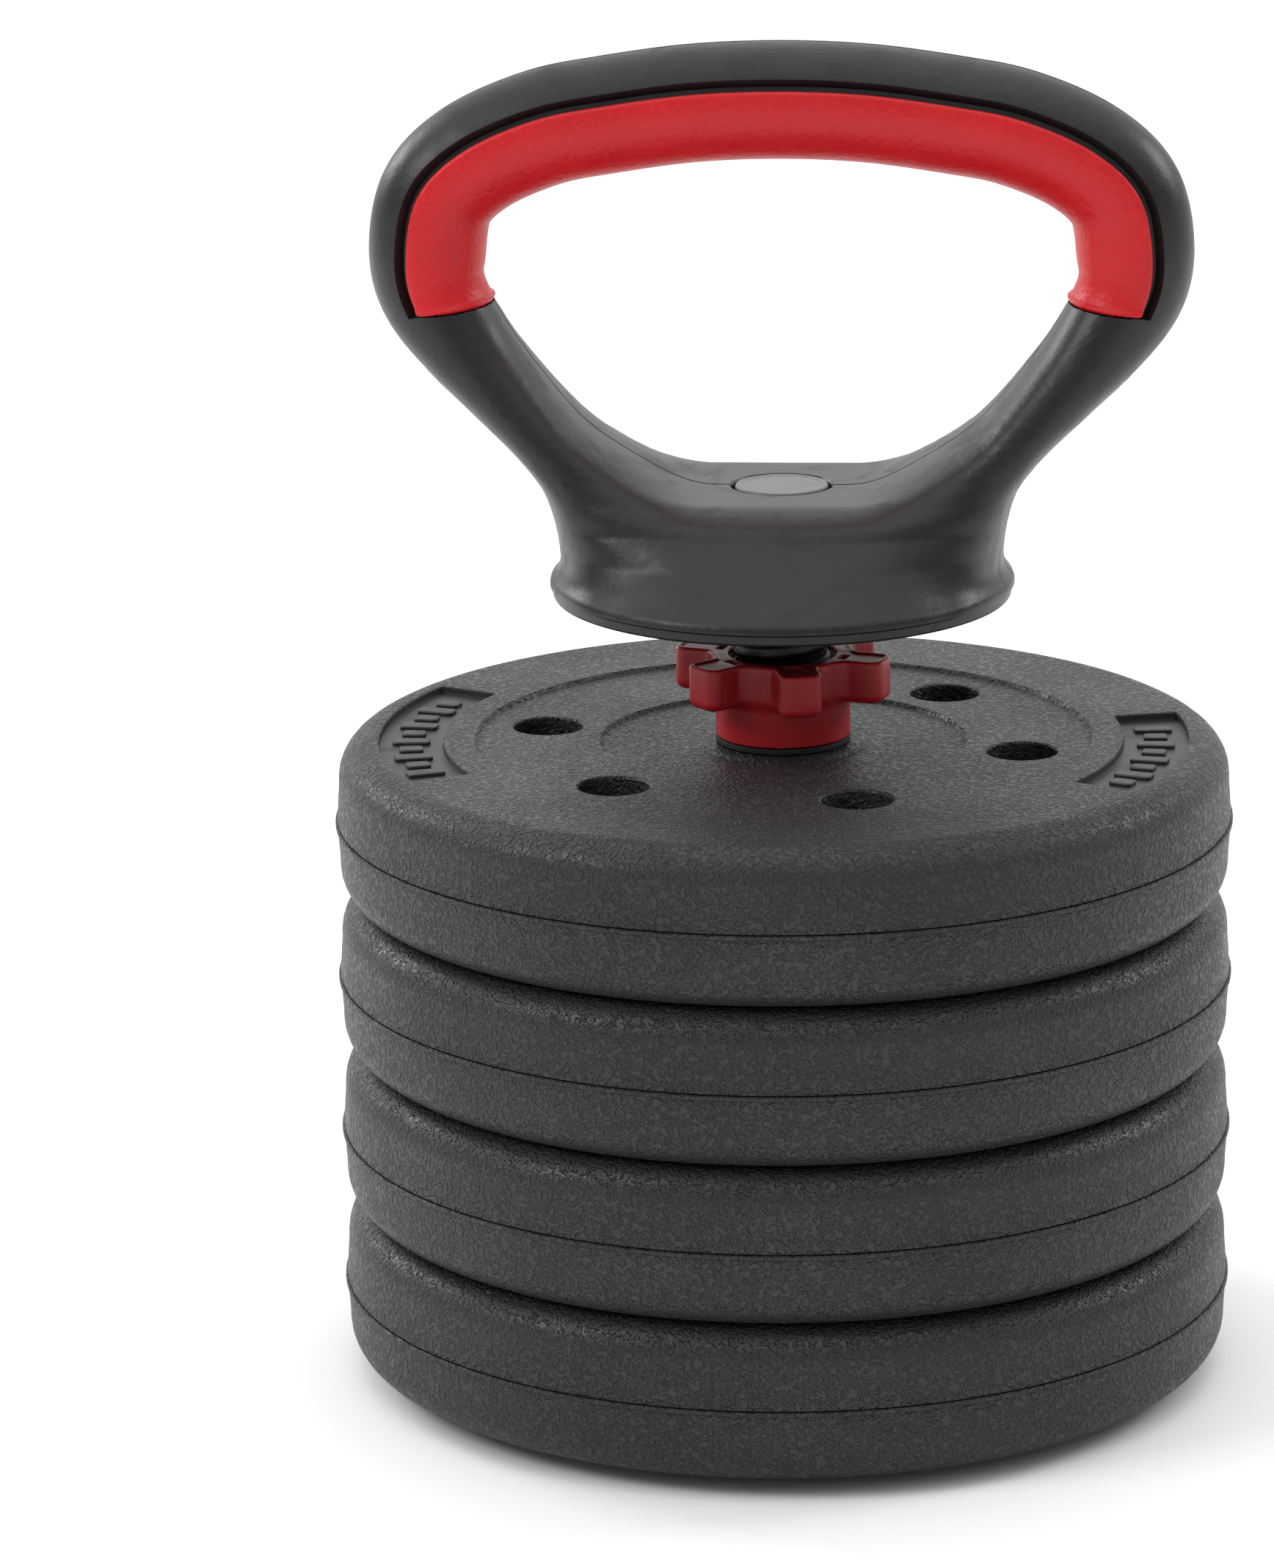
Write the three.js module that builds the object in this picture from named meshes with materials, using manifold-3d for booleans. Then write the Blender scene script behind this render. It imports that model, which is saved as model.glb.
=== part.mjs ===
// Adjustable kettlebell: filled plates on a threaded rod, clamped by a star nut,
// under a loop handle that screws onto the rod's end. Millimetres, +Z up, floor at z = 0.
import * as THREE from "three";
import { mergeVertices } from "three/addons/utils/BufferGeometryUtils.js";
import Module from "manifold-3d";

const wasm = await Module();
wasm.setup();

// ---------------------------------------------------------------- driving dimensions
const FIT_GAP = 0.3; // between pieces that touch

const PLATE_COUNT = 4;
const PLATE_SEGMENTS = 24;
const PLATE_RADIUS = 115;
const PLATE_THICKNESS = 40.6;
const PLATE_EDGE = 9; // round along the rim
const PLATE_WALL = 3.2;
const PLATE_RIM_WIDTH = 36.4; // rim face, from the edge in to the ring step
const PLATE_HUB_RADIUS = 46.4;
const PLATE_RING_DROP = 1.1; // ring face below the rim face
const PLATE_HUB_DROP = 2.2; // hub face below the rim face
const PLATE_BOSS_DROP = 1.4; // boss face below the rim face
const PLATE_BOSS_WIDTH = 6.3; // boss face, from the bore out
const PLATE_BORE_CLEARANCE = 1.95; // on the rod's crest radius
const PLATE_HOLE_RADIUS = 9;
const PLATE_HOLE_COUNT = 6;
const PLATE_HOLE_PHASE = -13; // degrees
const PLATE_TURNS = [176.7, 27.7, -9.3, 2.7]; // degrees, bottom plate first
const WINDOW_WIDTH = 16.5; // label recess, across the rim
const WINDOW_MARGIN = 11; // from the plate's edge
const WINDOW_DEPTH = 2;
const WINDOWS = [{ from: 150, to: 205 }, { from: -33.5, to: 11 }]; // degrees
const PLUG_RADIUS = 7;
const PLUG_PHASE = 90; // degrees from the first hole

const ROD_VALLEY_RADIUS = 11.4;
const ROD_CREST_RADIUS = 12.55;
const ROD_PITCH = 6.75;
const ROD_SHANK_RADIUS = 13; // plain part, inside the lowest plate
const ROD_CORE_RADIUS = 8;
const ROD_SPARE_THREAD = 15.4; // from the nut up to the handle base, all plates on
const THREAD_CLEARANCE = 0.5;
const THREAD_SEGMENTS = 14;

const FOOT_PAD_THICKNESS = 2;
const FOOT_RADIUS = 42;
const FOOT_THICKNESS = 2.8;
const FOOT_SPIGOT_HEIGHT = 6;
const FOOT_BOLT_RADIUS = 5;
const FOOT_BOLT_HEAD_RADIUS = 9.5;
const FOOT_BOLT_LENGTH = 34;
const FOOT_BOLT_INSET = 0.3; // head face above the flange's underside

const WASHER_THICKNESS = 1.4;
const NUT_NECK_RADIUS = 17.3;
const NUT_NECK_HEIGHT = 10.3;
const NUT_STAR_HEIGHT = 11.3;
const NUT_STAR_RADIUS = 28.2;
const NUT_LOBE_WIDTH = 11;
const NUT_LOBE_COUNT = 6;
const NUT_LOBE_PHASE = -17.3; // degrees
const NUT_BODY_RADIUS = 18.6;
const NUT_STAR_BEVEL = 1.2;

const BASE_RADIUS = 59.4;
const BASE_HEIGHT = 28.4;
const COVER_THICKNESS = 2.8;
const COVER_INSET = 0.8;
const COVER_SCREW_INSET = 15;
const SCREW_SHANK_RADIUS = 2;
const SCREW_HEAD_RADIUS = 3.8;
const SCREW_HEAD_HEIGHT = 1.8;
const COVER_SCREW_LENGTH = 14;
const SHELL_SCREW_OFFSET = 23;
const SHELL_SCREW_HEIGHT = 14;
const SHELL_SCREW_LENGTH = 52;
const SHELL_SCREW_SEAT = 0.59; // head seat behind the axis, as a share of BASE_RADIUS
const INSERT_RADIUS = 18;
const INSERT_FLANGE_RADIUS = 22;
const INSERT_FLANGE_THICKNESS = 3;
const CAP_RADIUS = 12.45;
const CAP_THICKNESS = 3;
const CAP_FLANGE_RADIUS = 14;
const CAP_FLANGE_THICKNESS = 1.2;
const SADDLE_WEB = 2.2; // shell between the insert and the cap's flange

const LOOP_SPAN = 208.6; // across the handle
const LOOP_HEIGHT = 127.5; // grip centreline above the base's underside
const GRIP_RADIUS = 14.7;
const LOOP_STEPS = 34;
const CORE_RADIUS = 6.5;
const PAD_THICKNESS = 2.6;
const PAD_HALF_ANGLE = 107; // degrees each side of the loop's inside
const PAD_END_HEIGHT = 76; // above the base's underside
const PAD_LIP = 0.4; // pad proud of the grip

// ---------------------------------------------------------------- derived sizes
const platePitch = PLATE_THICKNESS + FIT_GAP;
const stackBottom = FOOT_PAD_THICKNESS + FOOT_THICKNESS + 2 * FIT_GAP - PLATE_BOSS_DROP;
const stackTop = stackBottom + PLATE_COUNT * platePitch - FIT_GAP;
const ringRadius = PLATE_RADIUS - PLATE_RIM_WIDTH;
const holeCircle = (ringRadius + PLATE_HUB_RADIUS) / 2;
const plateBore = ROD_CREST_RADIUS + PLATE_BORE_CLEARANCE;

const footBottom = FOOT_PAD_THICKNESS + FIT_GAP;
const footTop = footBottom + FOOT_THICKNESS;
const rodBottom = footTop + FOOT_SPIGOT_HEIGHT + FIT_GAP;
const threadBottom = stackBottom + PLATE_THICKNESS;

const washerBottom = stackTop - PLATE_BOSS_DROP + FIT_GAP;
const nutBottom = washerBottom + WASHER_THICKNESS + FIT_GAP;
const starBottom = nutBottom + NUT_NECK_HEIGHT;
const nutTop = starBottom + NUT_STAR_HEIGHT;

const baseBottom = nutTop + ROD_SPARE_THREAD;
const shellBottom = baseBottom + COVER_THICKNESS + FIT_GAP;
const saddleTop = baseBottom + BASE_HEIGHT;
const capBottom = saddleTop - CAP_THICKNESS;
const capFlangeBottom = capBottom - CAP_FLANGE_THICKNESS;
const rodTop = capFlangeBottom - FIT_GAP;
const insertTop = capFlangeBottom - SADDLE_WEB - 2 * FIT_GAP;
const rodPassage = ROD_CREST_RADIUS + THREAD_CLEARANCE;

// ---------------------------------------------------------------- solids
const tau = 2 * Math.PI;
const radians = (degrees) => (degrees * tau) / 360;

/** A geometry of bare positions and an index, from vertices and triangles. */
function indexed(positions, triangles) {
  const geometry = new THREE.BufferGeometry();
  geometry.setAttribute("position", new THREE.Float32BufferAttribute(positions, 3));
  geometry.setIndex(triangles);
  return geometry;
}

/** Turns a closed three.js geometry into a solid, with its faces outwards. */
function solid(geometry) {
  const bare = geometry.index ? geometry.clone() : mergeVertices(geometry.clone());
  bare.deleteAttribute("normal");
  bare.deleteAttribute("uv");
  const merged = mergeVertices(bare, 1e-4);
  const points = merged.attributes.position.array;
  const index = merged.index.array;
  const triangles = [];
  let volume = 0;
  const a = new THREE.Vector3();
  const b = new THREE.Vector3();
  const c = new THREE.Vector3();
  for (let i = 0; i < index.length; i += 3) {
    const [p, q, r] = index.slice(i, i + 3);
    if (p === q || q === r || r === p) continue;
    triangles.push(p, q, r);
    a.fromArray(points, 3 * p);
    b.fromArray(points, 3 * q);
    c.fromArray(points, 3 * r);
    volume += a.dot(b.cross(c));
  }
  if (volume < 0) triangles.reverse();
  const mesh = new wasm.Mesh({
    numProp: 3,
    vertProperties: new Float32Array(points),
    triVerts: new Uint32Array(triangles),
  });
  return new wasm.Manifold(mesh);
}

/** Revolves an outline of [radius, height] pairs about +Z. Both ends lie on the axis. */
function turned(outline, segments) {
  const points = outline.map(([radius, height]) => new THREE.Vector2(radius, height));
  return solid(new THREE.LatheGeometry(points, segments).rotateX(tau / 4));
}

/** A solid cylinder along +Z between two heights, at (x, y). */
function post(radius, from, to, segments, x = 0, y = 0) {
  const geometry = new THREE.CylinderGeometry(radius, radius, to - from, segments);
  return solid(geometry.rotateX(tau / 4).translate(x, y, (from + to) / 2));
}

/** A box between two corners. */
function block(low, high) {
  const size = high.map((value, axis) => value - low[axis]);
  const middle = high.map((value, axis) => (value + low[axis]) / 2);
  return solid(new THREE.BoxGeometry(...size).translate(...middle));
}

/** Joins rings of points into a closed skin. Each end is closed across its ring. */
function loft(rings) {
  const count = rings[0].length;
  const triangles = [];
  const quad = (a, b, c, d) => triangles.push(a, b, c, a, c, d);
  for (let k = 0; k + 1 < rings.length; k += 1) {
    for (let i = 0; i < count; i += 1) {
      const next = (i + 1) % count;
      quad(k * count + i, k * count + next, (k + 1) * count + next, (k + 1) * count + i);
    }
  }
  const last = (rings.length - 1) * count;
  for (let i = 0; i + 1 < count / 2; i += 1) {
    const opposite = count - 1 - i;
    quad(i, opposite, opposite - 1, i + 1);
    quad(last + i, last + i + 1, last + opposite - 1, last + opposite);
  }
  return solid(indexed(rings.flat().flatMap((point) => point.toArray()), triangles));
}

/** A screw-thread bar, right-handed, cut flat at two heights and grown by a clearance. */
function threadBar(from, to, clearance = 0) {
  const profile = [
    [0, ROD_VALLEY_RADIUS],
    [0.38, ROD_VALLEY_RADIUS],
    [0.5, ROD_CREST_RADIUS],
    [0.88, ROD_CREST_RADIUS],
  ];
  const steps = profile.length;
  const firstTurn = Math.floor(from / ROD_PITCH) - 2;
  const rows = (Math.ceil(to / ROD_PITCH) + 2 - firstTurn) * steps;
  const positions = [];
  const triangles = [];
  for (let i = 0; i < THREAD_SEGMENTS; i += 1) {
    const angle = (i / THREAD_SEGMENTS) * tau;
    for (let row = 0; row <= rows + steps; row += 1) {
      const [phase, radius] = profile[row % steps];
      const turn = firstTurn + Math.floor(row / steps) + phase + i / THREAD_SEGMENTS;
      const reach = radius + clearance;
      positions.push(reach * Math.cos(angle), reach * Math.sin(angle), turn * ROD_PITCH);
    }
  }
  const perColumn = rows + steps + 1;
  const at = (column, row) => (column < THREAD_SEGMENTS
    ? column * perColumn + row
    : row + steps);
  for (let i = 0; i < THREAD_SEGMENTS; i += 1) {
    for (let row = 0; row < rows; row += 1) {
      triangles.push(at(i, row), at(i + 1, row), at(i + 1, row + 1));
      triangles.push(at(i, row), at(i + 1, row + 1), at(i, row + 1));
    }
  }
  const bottom = positions.length / 3;
  positions.push(0, 0, (firstTurn - 1) * ROD_PITCH);
  positions.push(0, 0, (firstTurn + rows / steps + 2) * ROD_PITCH);
  for (let i = 0; i < THREAD_SEGMENTS; i += 1) {
    triangles.push(bottom, at(i + 1, 0), at(i, 0));
    triangles.push(bottom + 1, at(i, rows), at(i + 1, rows));
  }
  for (let row = 0; row < steps; row += 1) {
    triangles.push(bottom, at(0, row), at(0, row + 1));
    triangles.push(bottom + 1, at(0, rows + row + 1), at(0, rows + row));
  }
  const bar = solid(indexed(positions, triangles));
  return bar.intersect(post(2 * ROD_CREST_RADIUS, from, to, 4));
}

// ---------------------------------------------------------------- scene graph
const group = new THREE.Group();

/** Adds a solid to the model as a named mesh. */
function piece(name, shape, colour, roughness, metalness = 0) {
  const { vertProperties, triVerts } = shape.getMesh();
  const geometry = indexed(Array.from(vertProperties), Array.from(triVerts));
  const material = new THREE.MeshStandardMaterial({ color: colour, roughness, metalness });
  const mesh = new THREE.Mesh(geometry, material);
  mesh.name = name;
  group.add(mesh);
}

const BLACK = 0x373839;
const CHARCOAL = 0x3c3c3c;
const RED = 0xd72126;
const STEEL = 0xa9abad;
const GREY = 0x8a8b8c;
const CEMENT = 0x9a958c;
const RUBBER = 0x1c1c1c;

// ---------------------------------------------------------------- plates
/** A point's place around the axis, at a radius and an angle in degrees. */
function around(radius, degrees) {
  return [radius * Math.cos(radians(degrees)), radius * Math.sin(radians(degrees))];
}

/** Where a plate's through holes stand. */
function holePlaces(turn) {
  const pitch = 360 / PLATE_HOLE_COUNT;
  return Array.from({ length: PLATE_HOLE_COUNT }, (_, i) =>
    around(holeCircle, PLATE_HOLE_PHASE + turn + i * pitch));
}

/** One plate's outer body about its mid-plane. */
function plateBody() {
  const half = PLATE_THICKNESS / 2;
  const bulge = 0.7;
  const upper = [
    [0, half - PLATE_BOSS_DROP],
    [plateBore + PLATE_BOSS_WIDTH, half - PLATE_BOSS_DROP],
    [plateBore + PLATE_BOSS_WIDTH + 1, half - PLATE_HUB_DROP],
    [PLATE_HUB_RADIUS, half - PLATE_HUB_DROP],
    [PLATE_HUB_RADIUS + 1, half - PLATE_RING_DROP],
    [ringRadius, half - PLATE_RING_DROP],
    [ringRadius + 1, half],
    [PLATE_RADIUS - PLATE_EDGE, half],
    [PLATE_RADIUS - bulge - PLATE_EDGE * 0.3, half - PLATE_EDGE * 0.3],
    [PLATE_RADIUS - bulge, half - PLATE_EDGE],
  ];
  const lower = upper.map(([radius, height]) => [radius, -height]);
  return turned([...lower, [PLATE_RADIUS, 0], ...upper.toReversed()], PLATE_SEGMENTS);
}

/** The cavity inside a plate, shrunk by a clearance on every side. */
function plateCavity(turn, clearance) {
  const half = PLATE_THICKNESS / 2 - PLATE_HUB_DROP - PLATE_WALL - clearance;
  const outer = PLATE_RADIUS - PLATE_WALL - 0.7 - clearance;
  const outline = [[0, -half], [outer - 5, -half], [outer, 5 - half]];
  const mirrored = outline.map(([radius, height]) => [radius, -height]).reverse();
  const hub = plateBore + PLATE_WALL + clearance;
  let cavity = turned([...outline, ...mirrored], 20);
  cavity = cavity.subtract(post(hub, -half - 1, half + 1, 16));
  const tube = PLATE_HOLE_RADIUS + PLATE_WALL / 2 + clearance;
  for (const [x, y] of holePlaces(turn)) {
    cavity = cavity.subtract(post(tube, -half - 1, half + 1, 8, x, y));
  }
  return cavity;
}

/** The cutter for an arc-shaped label recess in a plate's upper face. */
function labelWindow({ from, to }, turn) {
  const outer = PLATE_RADIUS - WINDOW_MARGIN;
  const inner = outer - WINDOW_WIDTH;
  const shape = new THREE.Shape();
  shape.absarc(0, 0, outer, radians(from + turn), radians(to + turn), false);
  shape.absarc(0, 0, inner, radians(to + turn), radians(from + turn), true);
  const options = { depth: WINDOW_DEPTH + 1, bevelEnabled: false, curveSegments: 4 };
  const floor = PLATE_THICKNESS / 2 - WINDOW_DEPTH;
  return solid(new THREE.ExtrudeGeometry(shape, options).translate(0, 0, floor));
}

/** The two moulded halves, the fill and the filler plug of one plate. */
function plate(number, turn) {
  const half = PLATE_THICKNESS / 2;
  const middle = stackBottom + half + (number - 1) * platePitch;
  const wide = PLATE_RADIUS + 1;
  const plugAngle = PLATE_HOLE_PHASE + turn + PLUG_PHASE;
  const [plugX, plugY] = around(holeCircle, plugAngle);
  let shell = plateBody().subtract(plateCavity(turn, 0));
  shell = shell.subtract(post(plateBore, -half, half, 16));
  for (const [x, y] of holePlaces(turn)) {
    shell = shell.subtract(post(PLATE_HOLE_RADIUS, -half, half, 8, x, y));
  }
  for (const window of WINDOWS) {
    shell = shell.subtract(labelWindow(window, turn));
  }
  const plugTop = PLATE_HUB_DROP + PLATE_WALL - half;
  shell = shell.subtract(post(PLUG_RADIUS, -half, plugTop, 10, plugX, plugY));
  const upper = shell.intersect(block([-wide, -wide, FIT_GAP / 2], [wide, wide, half]));
  const lower = shell.intersect(block([-wide, -wide, -half], [wide, wide, -FIT_GAP / 2]));
  const plugBottom = PLATE_RING_DROP + 0.4 - half;
  const plug = post(PLUG_RADIUS - FIT_GAP, plugBottom, plugTop, 10, plugX, plugY);
  const name = (part) => `plate_${number}_${part}`;
  piece(name("upper_shell"), upper.translate([0, 0, middle]), CHARCOAL, 0.6);
  piece(name("lower_shell"), lower.translate([0, 0, middle]), CHARCOAL, 0.6);
  piece(name("core"), plateCavity(turn, FIT_GAP).translate([0, 0, middle]), CEMENT, 0.9);
  piece(name("plug"), plug.translate([0, 0, middle]), CHARCOAL, 0.6);
}

PLATE_TURNS.forEach((turn, index) => plate(index + 1, turn));

// ---------------------------------------------------------------- rod and foot
/** The threaded plastic sleeve. It is plain where the lowest plate always sits. */
function rodSleeve() {
  const shank = post(ROD_SHANK_RADIUS, rodBottom, threadBottom, 16);
  const bar = shank.add(threadBar(threadBottom - ROD_PITCH / 2, rodTop));
  return bar.subtract(post(ROD_CORE_RADIUS + FIT_GAP, rodBottom - 1, rodTop + 1, 12));
}

/** The steel bar inside the sleeve, with a blind hole for the foot bolt. */
function rodCore() {
  const boltEnd = footBottom + FOOT_BOLT_LENGTH + 2;
  const bolt = post(FOOT_BOLT_RADIUS + FIT_GAP, rodBottom - 1, boltEnd, 10);
  return post(ROD_CORE_RADIUS, rodBottom, rodTop, 12).subtract(bolt);
}

/** The countersunk bolt's outline, grown by a clearance. */
function footBolt(clearance) {
  const bottom = footBottom + FOOT_BOLT_INSET - clearance;
  const neck = bottom + FOOT_BOLT_HEAD_RADIUS - FOOT_BOLT_RADIUS + clearance;
  const shank = FOOT_BOLT_RADIUS + clearance;
  const head = FOOT_BOLT_HEAD_RADIUS + clearance;
  const top = footBottom + FOOT_BOLT_LENGTH + clearance;
  return turned([[0, bottom], [head, bottom], [shank, neck], [shank, top], [0, top]], 10);
}

/** The flange under the plates, with a spigot that centres the lowest one. */
function footFlange() {
  const spigot = plateBore - FIT_GAP;
  const outline = [
    [0, footBottom],
    [FOOT_RADIUS, footBottom],
    [FOOT_RADIUS, footTop],
    [spigot, footTop],
    [spigot, footTop + FOOT_SPIGOT_HEIGHT],
    [0, footTop + FOOT_SPIGOT_HEIGHT],
  ];
  return turned(outline, 24).subtract(footBolt(FIT_GAP));
}

/** The rubber ring that the object stands on. */
function footPad() {
  const hole = FOOT_BOLT_HEAD_RADIUS + 3;
  const opening = post(hole, -1, FOOT_PAD_THICKNESS + 1, 16);
  return post(FOOT_RADIUS, 0, FOOT_PAD_THICKNESS, 24).subtract(opening);
}

piece("rod_sleeve", rodSleeve(), BLACK, 0.45);
piece("rod_core", rodCore(), STEEL, 0.35, 1);
piece("foot_flange", footFlange(), STEEL, 0.4, 1);
piece("foot_bolt", footBolt(0), STEEL, 0.3, 1);
piece("foot_pad", footPad(), RUBBER, 0.9);

// ---------------------------------------------------------------- nut
/** The star's plan: a round body with straight-sided, round-ended lobes. */
function starPlan() {
  const shape = new THREE.Shape();
  const halfWidth = NUT_LOBE_WIDTH / 2;
  const root = Math.sqrt(NUT_BODY_RADIUS ** 2 - halfWidth ** 2);
  const corner = 3;
  const tip = NUT_STAR_RADIUS - corner;
  for (let lobe = 0; lobe < NUT_LOBE_COUNT; lobe += 1) {
    const angle = radians(NUT_LOBE_PHASE) + (lobe * tau) / NUT_LOBE_COUNT;
    const out = new THREE.Vector2(Math.cos(angle), Math.sin(angle));
    const side = new THREE.Vector2(-out.y, out.x);
    const at = (reach, across) => out.clone().multiplyScalar(reach).addScaledVector(side, across);
    const corners = [
      at(root, -halfWidth),
      at(tip, -halfWidth),
      at(NUT_STAR_RADIUS, corner - halfWidth),
      at(NUT_STAR_RADIUS, halfWidth - corner),
      at(tip, halfWidth),
      at(root, halfWidth),
    ];
    corners.forEach((point) => (shape.curves.length || shape.currentPoint.length()
      ? shape.lineTo(point.x, point.y)
      : shape.moveTo(point.x, point.y)));
  }
  shape.closePath();
  return shape;
}

/** The red star nut, threaded through. */
function starNut() {
  const options = {
    depth: NUT_STAR_HEIGHT - 2 * NUT_STAR_BEVEL,
    bevelThickness: NUT_STAR_BEVEL,
    bevelSize: NUT_STAR_BEVEL,
    bevelOffset: -NUT_STAR_BEVEL,
    bevelSegments: 1,
  };
  const star = new THREE.ExtrudeGeometry(starPlan(), options);
  const body = solid(star.translate(0, 0, starBottom + NUT_STAR_BEVEL));
  const neck = post(NUT_NECK_RADIUS, nutBottom, starBottom + 1, 20);
  return body.add(neck).subtract(threadBar(nutBottom - 1, nutTop + 1, THREAD_CLEARANCE));
}

/** The flat washer between the nut and the top plate's boss. */
function nutWasher() {
  const top = washerBottom + WASHER_THICKNESS;
  const hole = post(rodPassage, washerBottom - 1, top + 1, 14);
  return post(NUT_NECK_RADIUS, washerBottom, top, 20).subtract(hole);
}

piece("star_nut", starNut(), RED, 0.45);
piece("nut_washer", nutWasher(), RUBBER, 0.6);

// ---------------------------------------------------------------- handle
/**
 * The loop's stations, from inside the base up the horn to the middle of the grip:
 * centreline as shares of the loop's half span and height, then half sizes in mm across
 * the bar in the loop's plane and front to back, and how square the section is, where 2
 * is an ellipse.
 */
const centreSpan = LOOP_SPAN / 2 - GRIP_RADIUS;
const halfLoop = [
  { x: 0.402, z: 0.031, across: 8, deep: 27, square: 3 },
  { x: 0.458, z: 0.169, across: 11.9, deep: 28, square: 3 },
  { x: 0.642, z: 0.315, across: 8.9, deep: 25, square: 3 },
  { x: 0.795, z: 0.431, across: 10.2, deep: 20, square: 2.6 },
  { x: 0.895, z: 0.513, across: 11.8, deep: 17, square: 2.2 },
  { x: 0.982, z: 0.607, across: 13.5, deep: 15, square: 2 },
  ...[[1, 0.694], [0.969, 0.808], [0.854, 0.886], [0.67, 0.944], [0.491, 0.969], [0.246, 0.993]]
    .map(([x, z]) => ({ x, z, across: GRIP_RADIUS, deep: GRIP_RADIUS, square: 2 })),
];
const crown = { x: 0, z: 1, across: GRIP_RADIUS, deep: GRIP_RADIUS, square: 2 };
const stations = [
  ...halfLoop.map((station) => ({ ...station, x: -station.x })),
  crown,
  ...halfLoop.toReversed(),
];
const loopPath = new THREE.CatmullRomCurve3(stations.map(({ x, z }) =>
  new THREE.Vector3(x * centreSpan, 0, baseBottom + z * LOOP_HEIGHT)));
const loopSizes = new THREE.CatmullRomCurve3(stations.map(({ across, deep, square }) =>
  new THREE.Vector3(across, deep, square)));

/**
 * Rings around the loop. outline gives each ring's points as [outwards, backwards] from
 * the bar's half sizes and squareness at that place; outwards is away from the finger gap.
 */
function loopRings(steps, outline) {
  return Array.from({ length: steps + 1 }, (_, k) => {
    const centre = loopPath.getPoint(k / steps);
    const tangent = loopPath.getTangent(k / steps);
    const outwards = new THREE.Vector3(-tangent.z, 0, tangent.x);
    const { x: across, y: deep, z: square } = loopSizes.getPoint(k / steps);
    return outline(across, deep, square).map(([out, back]) =>
      centre.clone().addScaledVector(outwards, out).add(new THREE.Vector3(0, back, 0)));
  });
}

/** An oval outline, an ellipse where square is 2 and nearer a rectangle above that. */
function oval(sides, across, deep, square = 2) {
  return Array.from({ length: sides }, (_, i) => {
    const angle = ((i + 0.5) / sides) * tau;
    const [c, s] = [Math.cos(angle), Math.sin(angle)];
    const reach = (Math.abs(c) ** square + Math.abs(s) ** square) ** (-1 / square);
    return [across * reach * c, deep * reach * s];
  });
}

/** The pad's outline: a band around the inside of the bar, between two depths. */
function padBand(across, deep, outer, inner, extraAngle) {
  const sides = 8;
  const limit = radians(PAD_HALF_ANGLE + extraAngle);
  const arc = (offset) => Array.from({ length: sides + 1 }, (_, i) => {
    const angle = tau / 2 - limit + (2 * limit * i) / sides;
    return [(across + offset) * Math.cos(angle), (deep + offset) * Math.sin(angle)];
  });
  return [...arc(outer), ...arc(inner).reverse()];
}

const padEnd = baseBottom + PAD_END_HEIGHT;
const farOut = LOOP_SPAN;

/** Everything above a height. */
function above(height) {
  return block([-farOut, -farOut, height], [farOut, farOut, height + farOut]);
}

/**
 * The base's sections: height as a share of BASE_HEIGHT, half sizes across and front to
 * back as shares of BASE_RADIUS, and squareness. A round rim rises to a bar-shaped saddle.
 */
const baseSections = [
  [0.148, 1, 1, 2],
  [0.222, 0.971, 0.97, 2],
  [0.289, 0.949, 0.936, 2],
  [0.394, 0.931, 0.875, 2.05],
  [0.511, 0.923, 0.805, 2.1],
  [0.634, 0.914, 0.724, 2.3],
  [0.757, 0.899, 0.645, 2.5],
  [0.866, 0.865, 0.575, 2.8],
  [0.951, 0.82, 0.51, 3],
  [1, 0.74, 0.41, 3.2],
];

/** The base that joins both horns. */
function baseBell() {
  const foot = (shellBottom - baseBottom) / BASE_HEIGHT;
  const rings = [[foot, 0.99, 0.99, 2], ...baseSections].map(([height, across, deep, square]) =>
    oval(28, across * BASE_RADIUS, deep * BASE_RADIUS, square).map(([x, y]) =>
      new THREE.Vector3(x, y, baseBottom + height * BASE_HEIGHT)));
  return loft(rings);
}

/** Where the screws that hold the cover stand. */
const coverScrewPlaces = [45, 135, 225, 315].map((degrees) =>
  around(BASE_RADIUS - COVER_SCREW_INSET, degrees));

/** A cover screw, driven upwards, grown by a clearance. */
function coverScrew([x, y], clearance) {
  const seat = baseBottom + SCREW_HEAD_HEIGHT + FIT_GAP;
  const headBottom = seat - SCREW_HEAD_HEIGHT - clearance;
  const head = post(SCREW_HEAD_RADIUS + clearance, headBottom, seat, 10, x, y);
  const tip = seat + COVER_SCREW_LENGTH + clearance;
  return head.add(post(SCREW_SHANK_RADIUS + clearance, seat - 0.5, tip, 8, x, y));
}

/** A screw through both shells, driven from the back, grown by a clearance. */
function shellScrew(x, clearance) {
  const height = baseBottom + SHELL_SCREW_HEIGHT;
  const seat = BASE_RADIUS * SHELL_SCREW_SEAT;
  const bar = (radius, from, to, sides) => {
    const geometry = new THREE.CylinderGeometry(radius, radius, to - from, sides);
    return solid(geometry.translate(x, (from + to) / 2, height));
  };
  const tip = seat - SHELL_SCREW_LENGTH - clearance;
  const shank = bar(SCREW_SHANK_RADIUS + clearance, tip, seat + 0.5, 8);
  const headEnd = clearance > 0 ? seat + farOut : seat + 2 * SCREW_HEAD_HEIGHT;
  return shank.add(bar(SCREW_HEAD_RADIUS + clearance, seat, headEnd, 10));
}

/** The threaded insert's outer outline, grown by a clearance. */
function insertBody(clearance) {
  const flange = shellBottom + INSERT_FLANGE_THICKNESS + clearance;
  const top = insertTop + clearance;
  const outline = [
    [0, shellBottom - clearance],
    [INSERT_FLANGE_RADIUS + clearance, shellBottom - clearance],
    [INSERT_FLANGE_RADIUS + clearance, flange],
    [INSERT_RADIUS + clearance, flange],
    [INSERT_RADIUS + clearance, top],
    [0, top],
  ];
  return turned(outline, 16);
}

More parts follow.
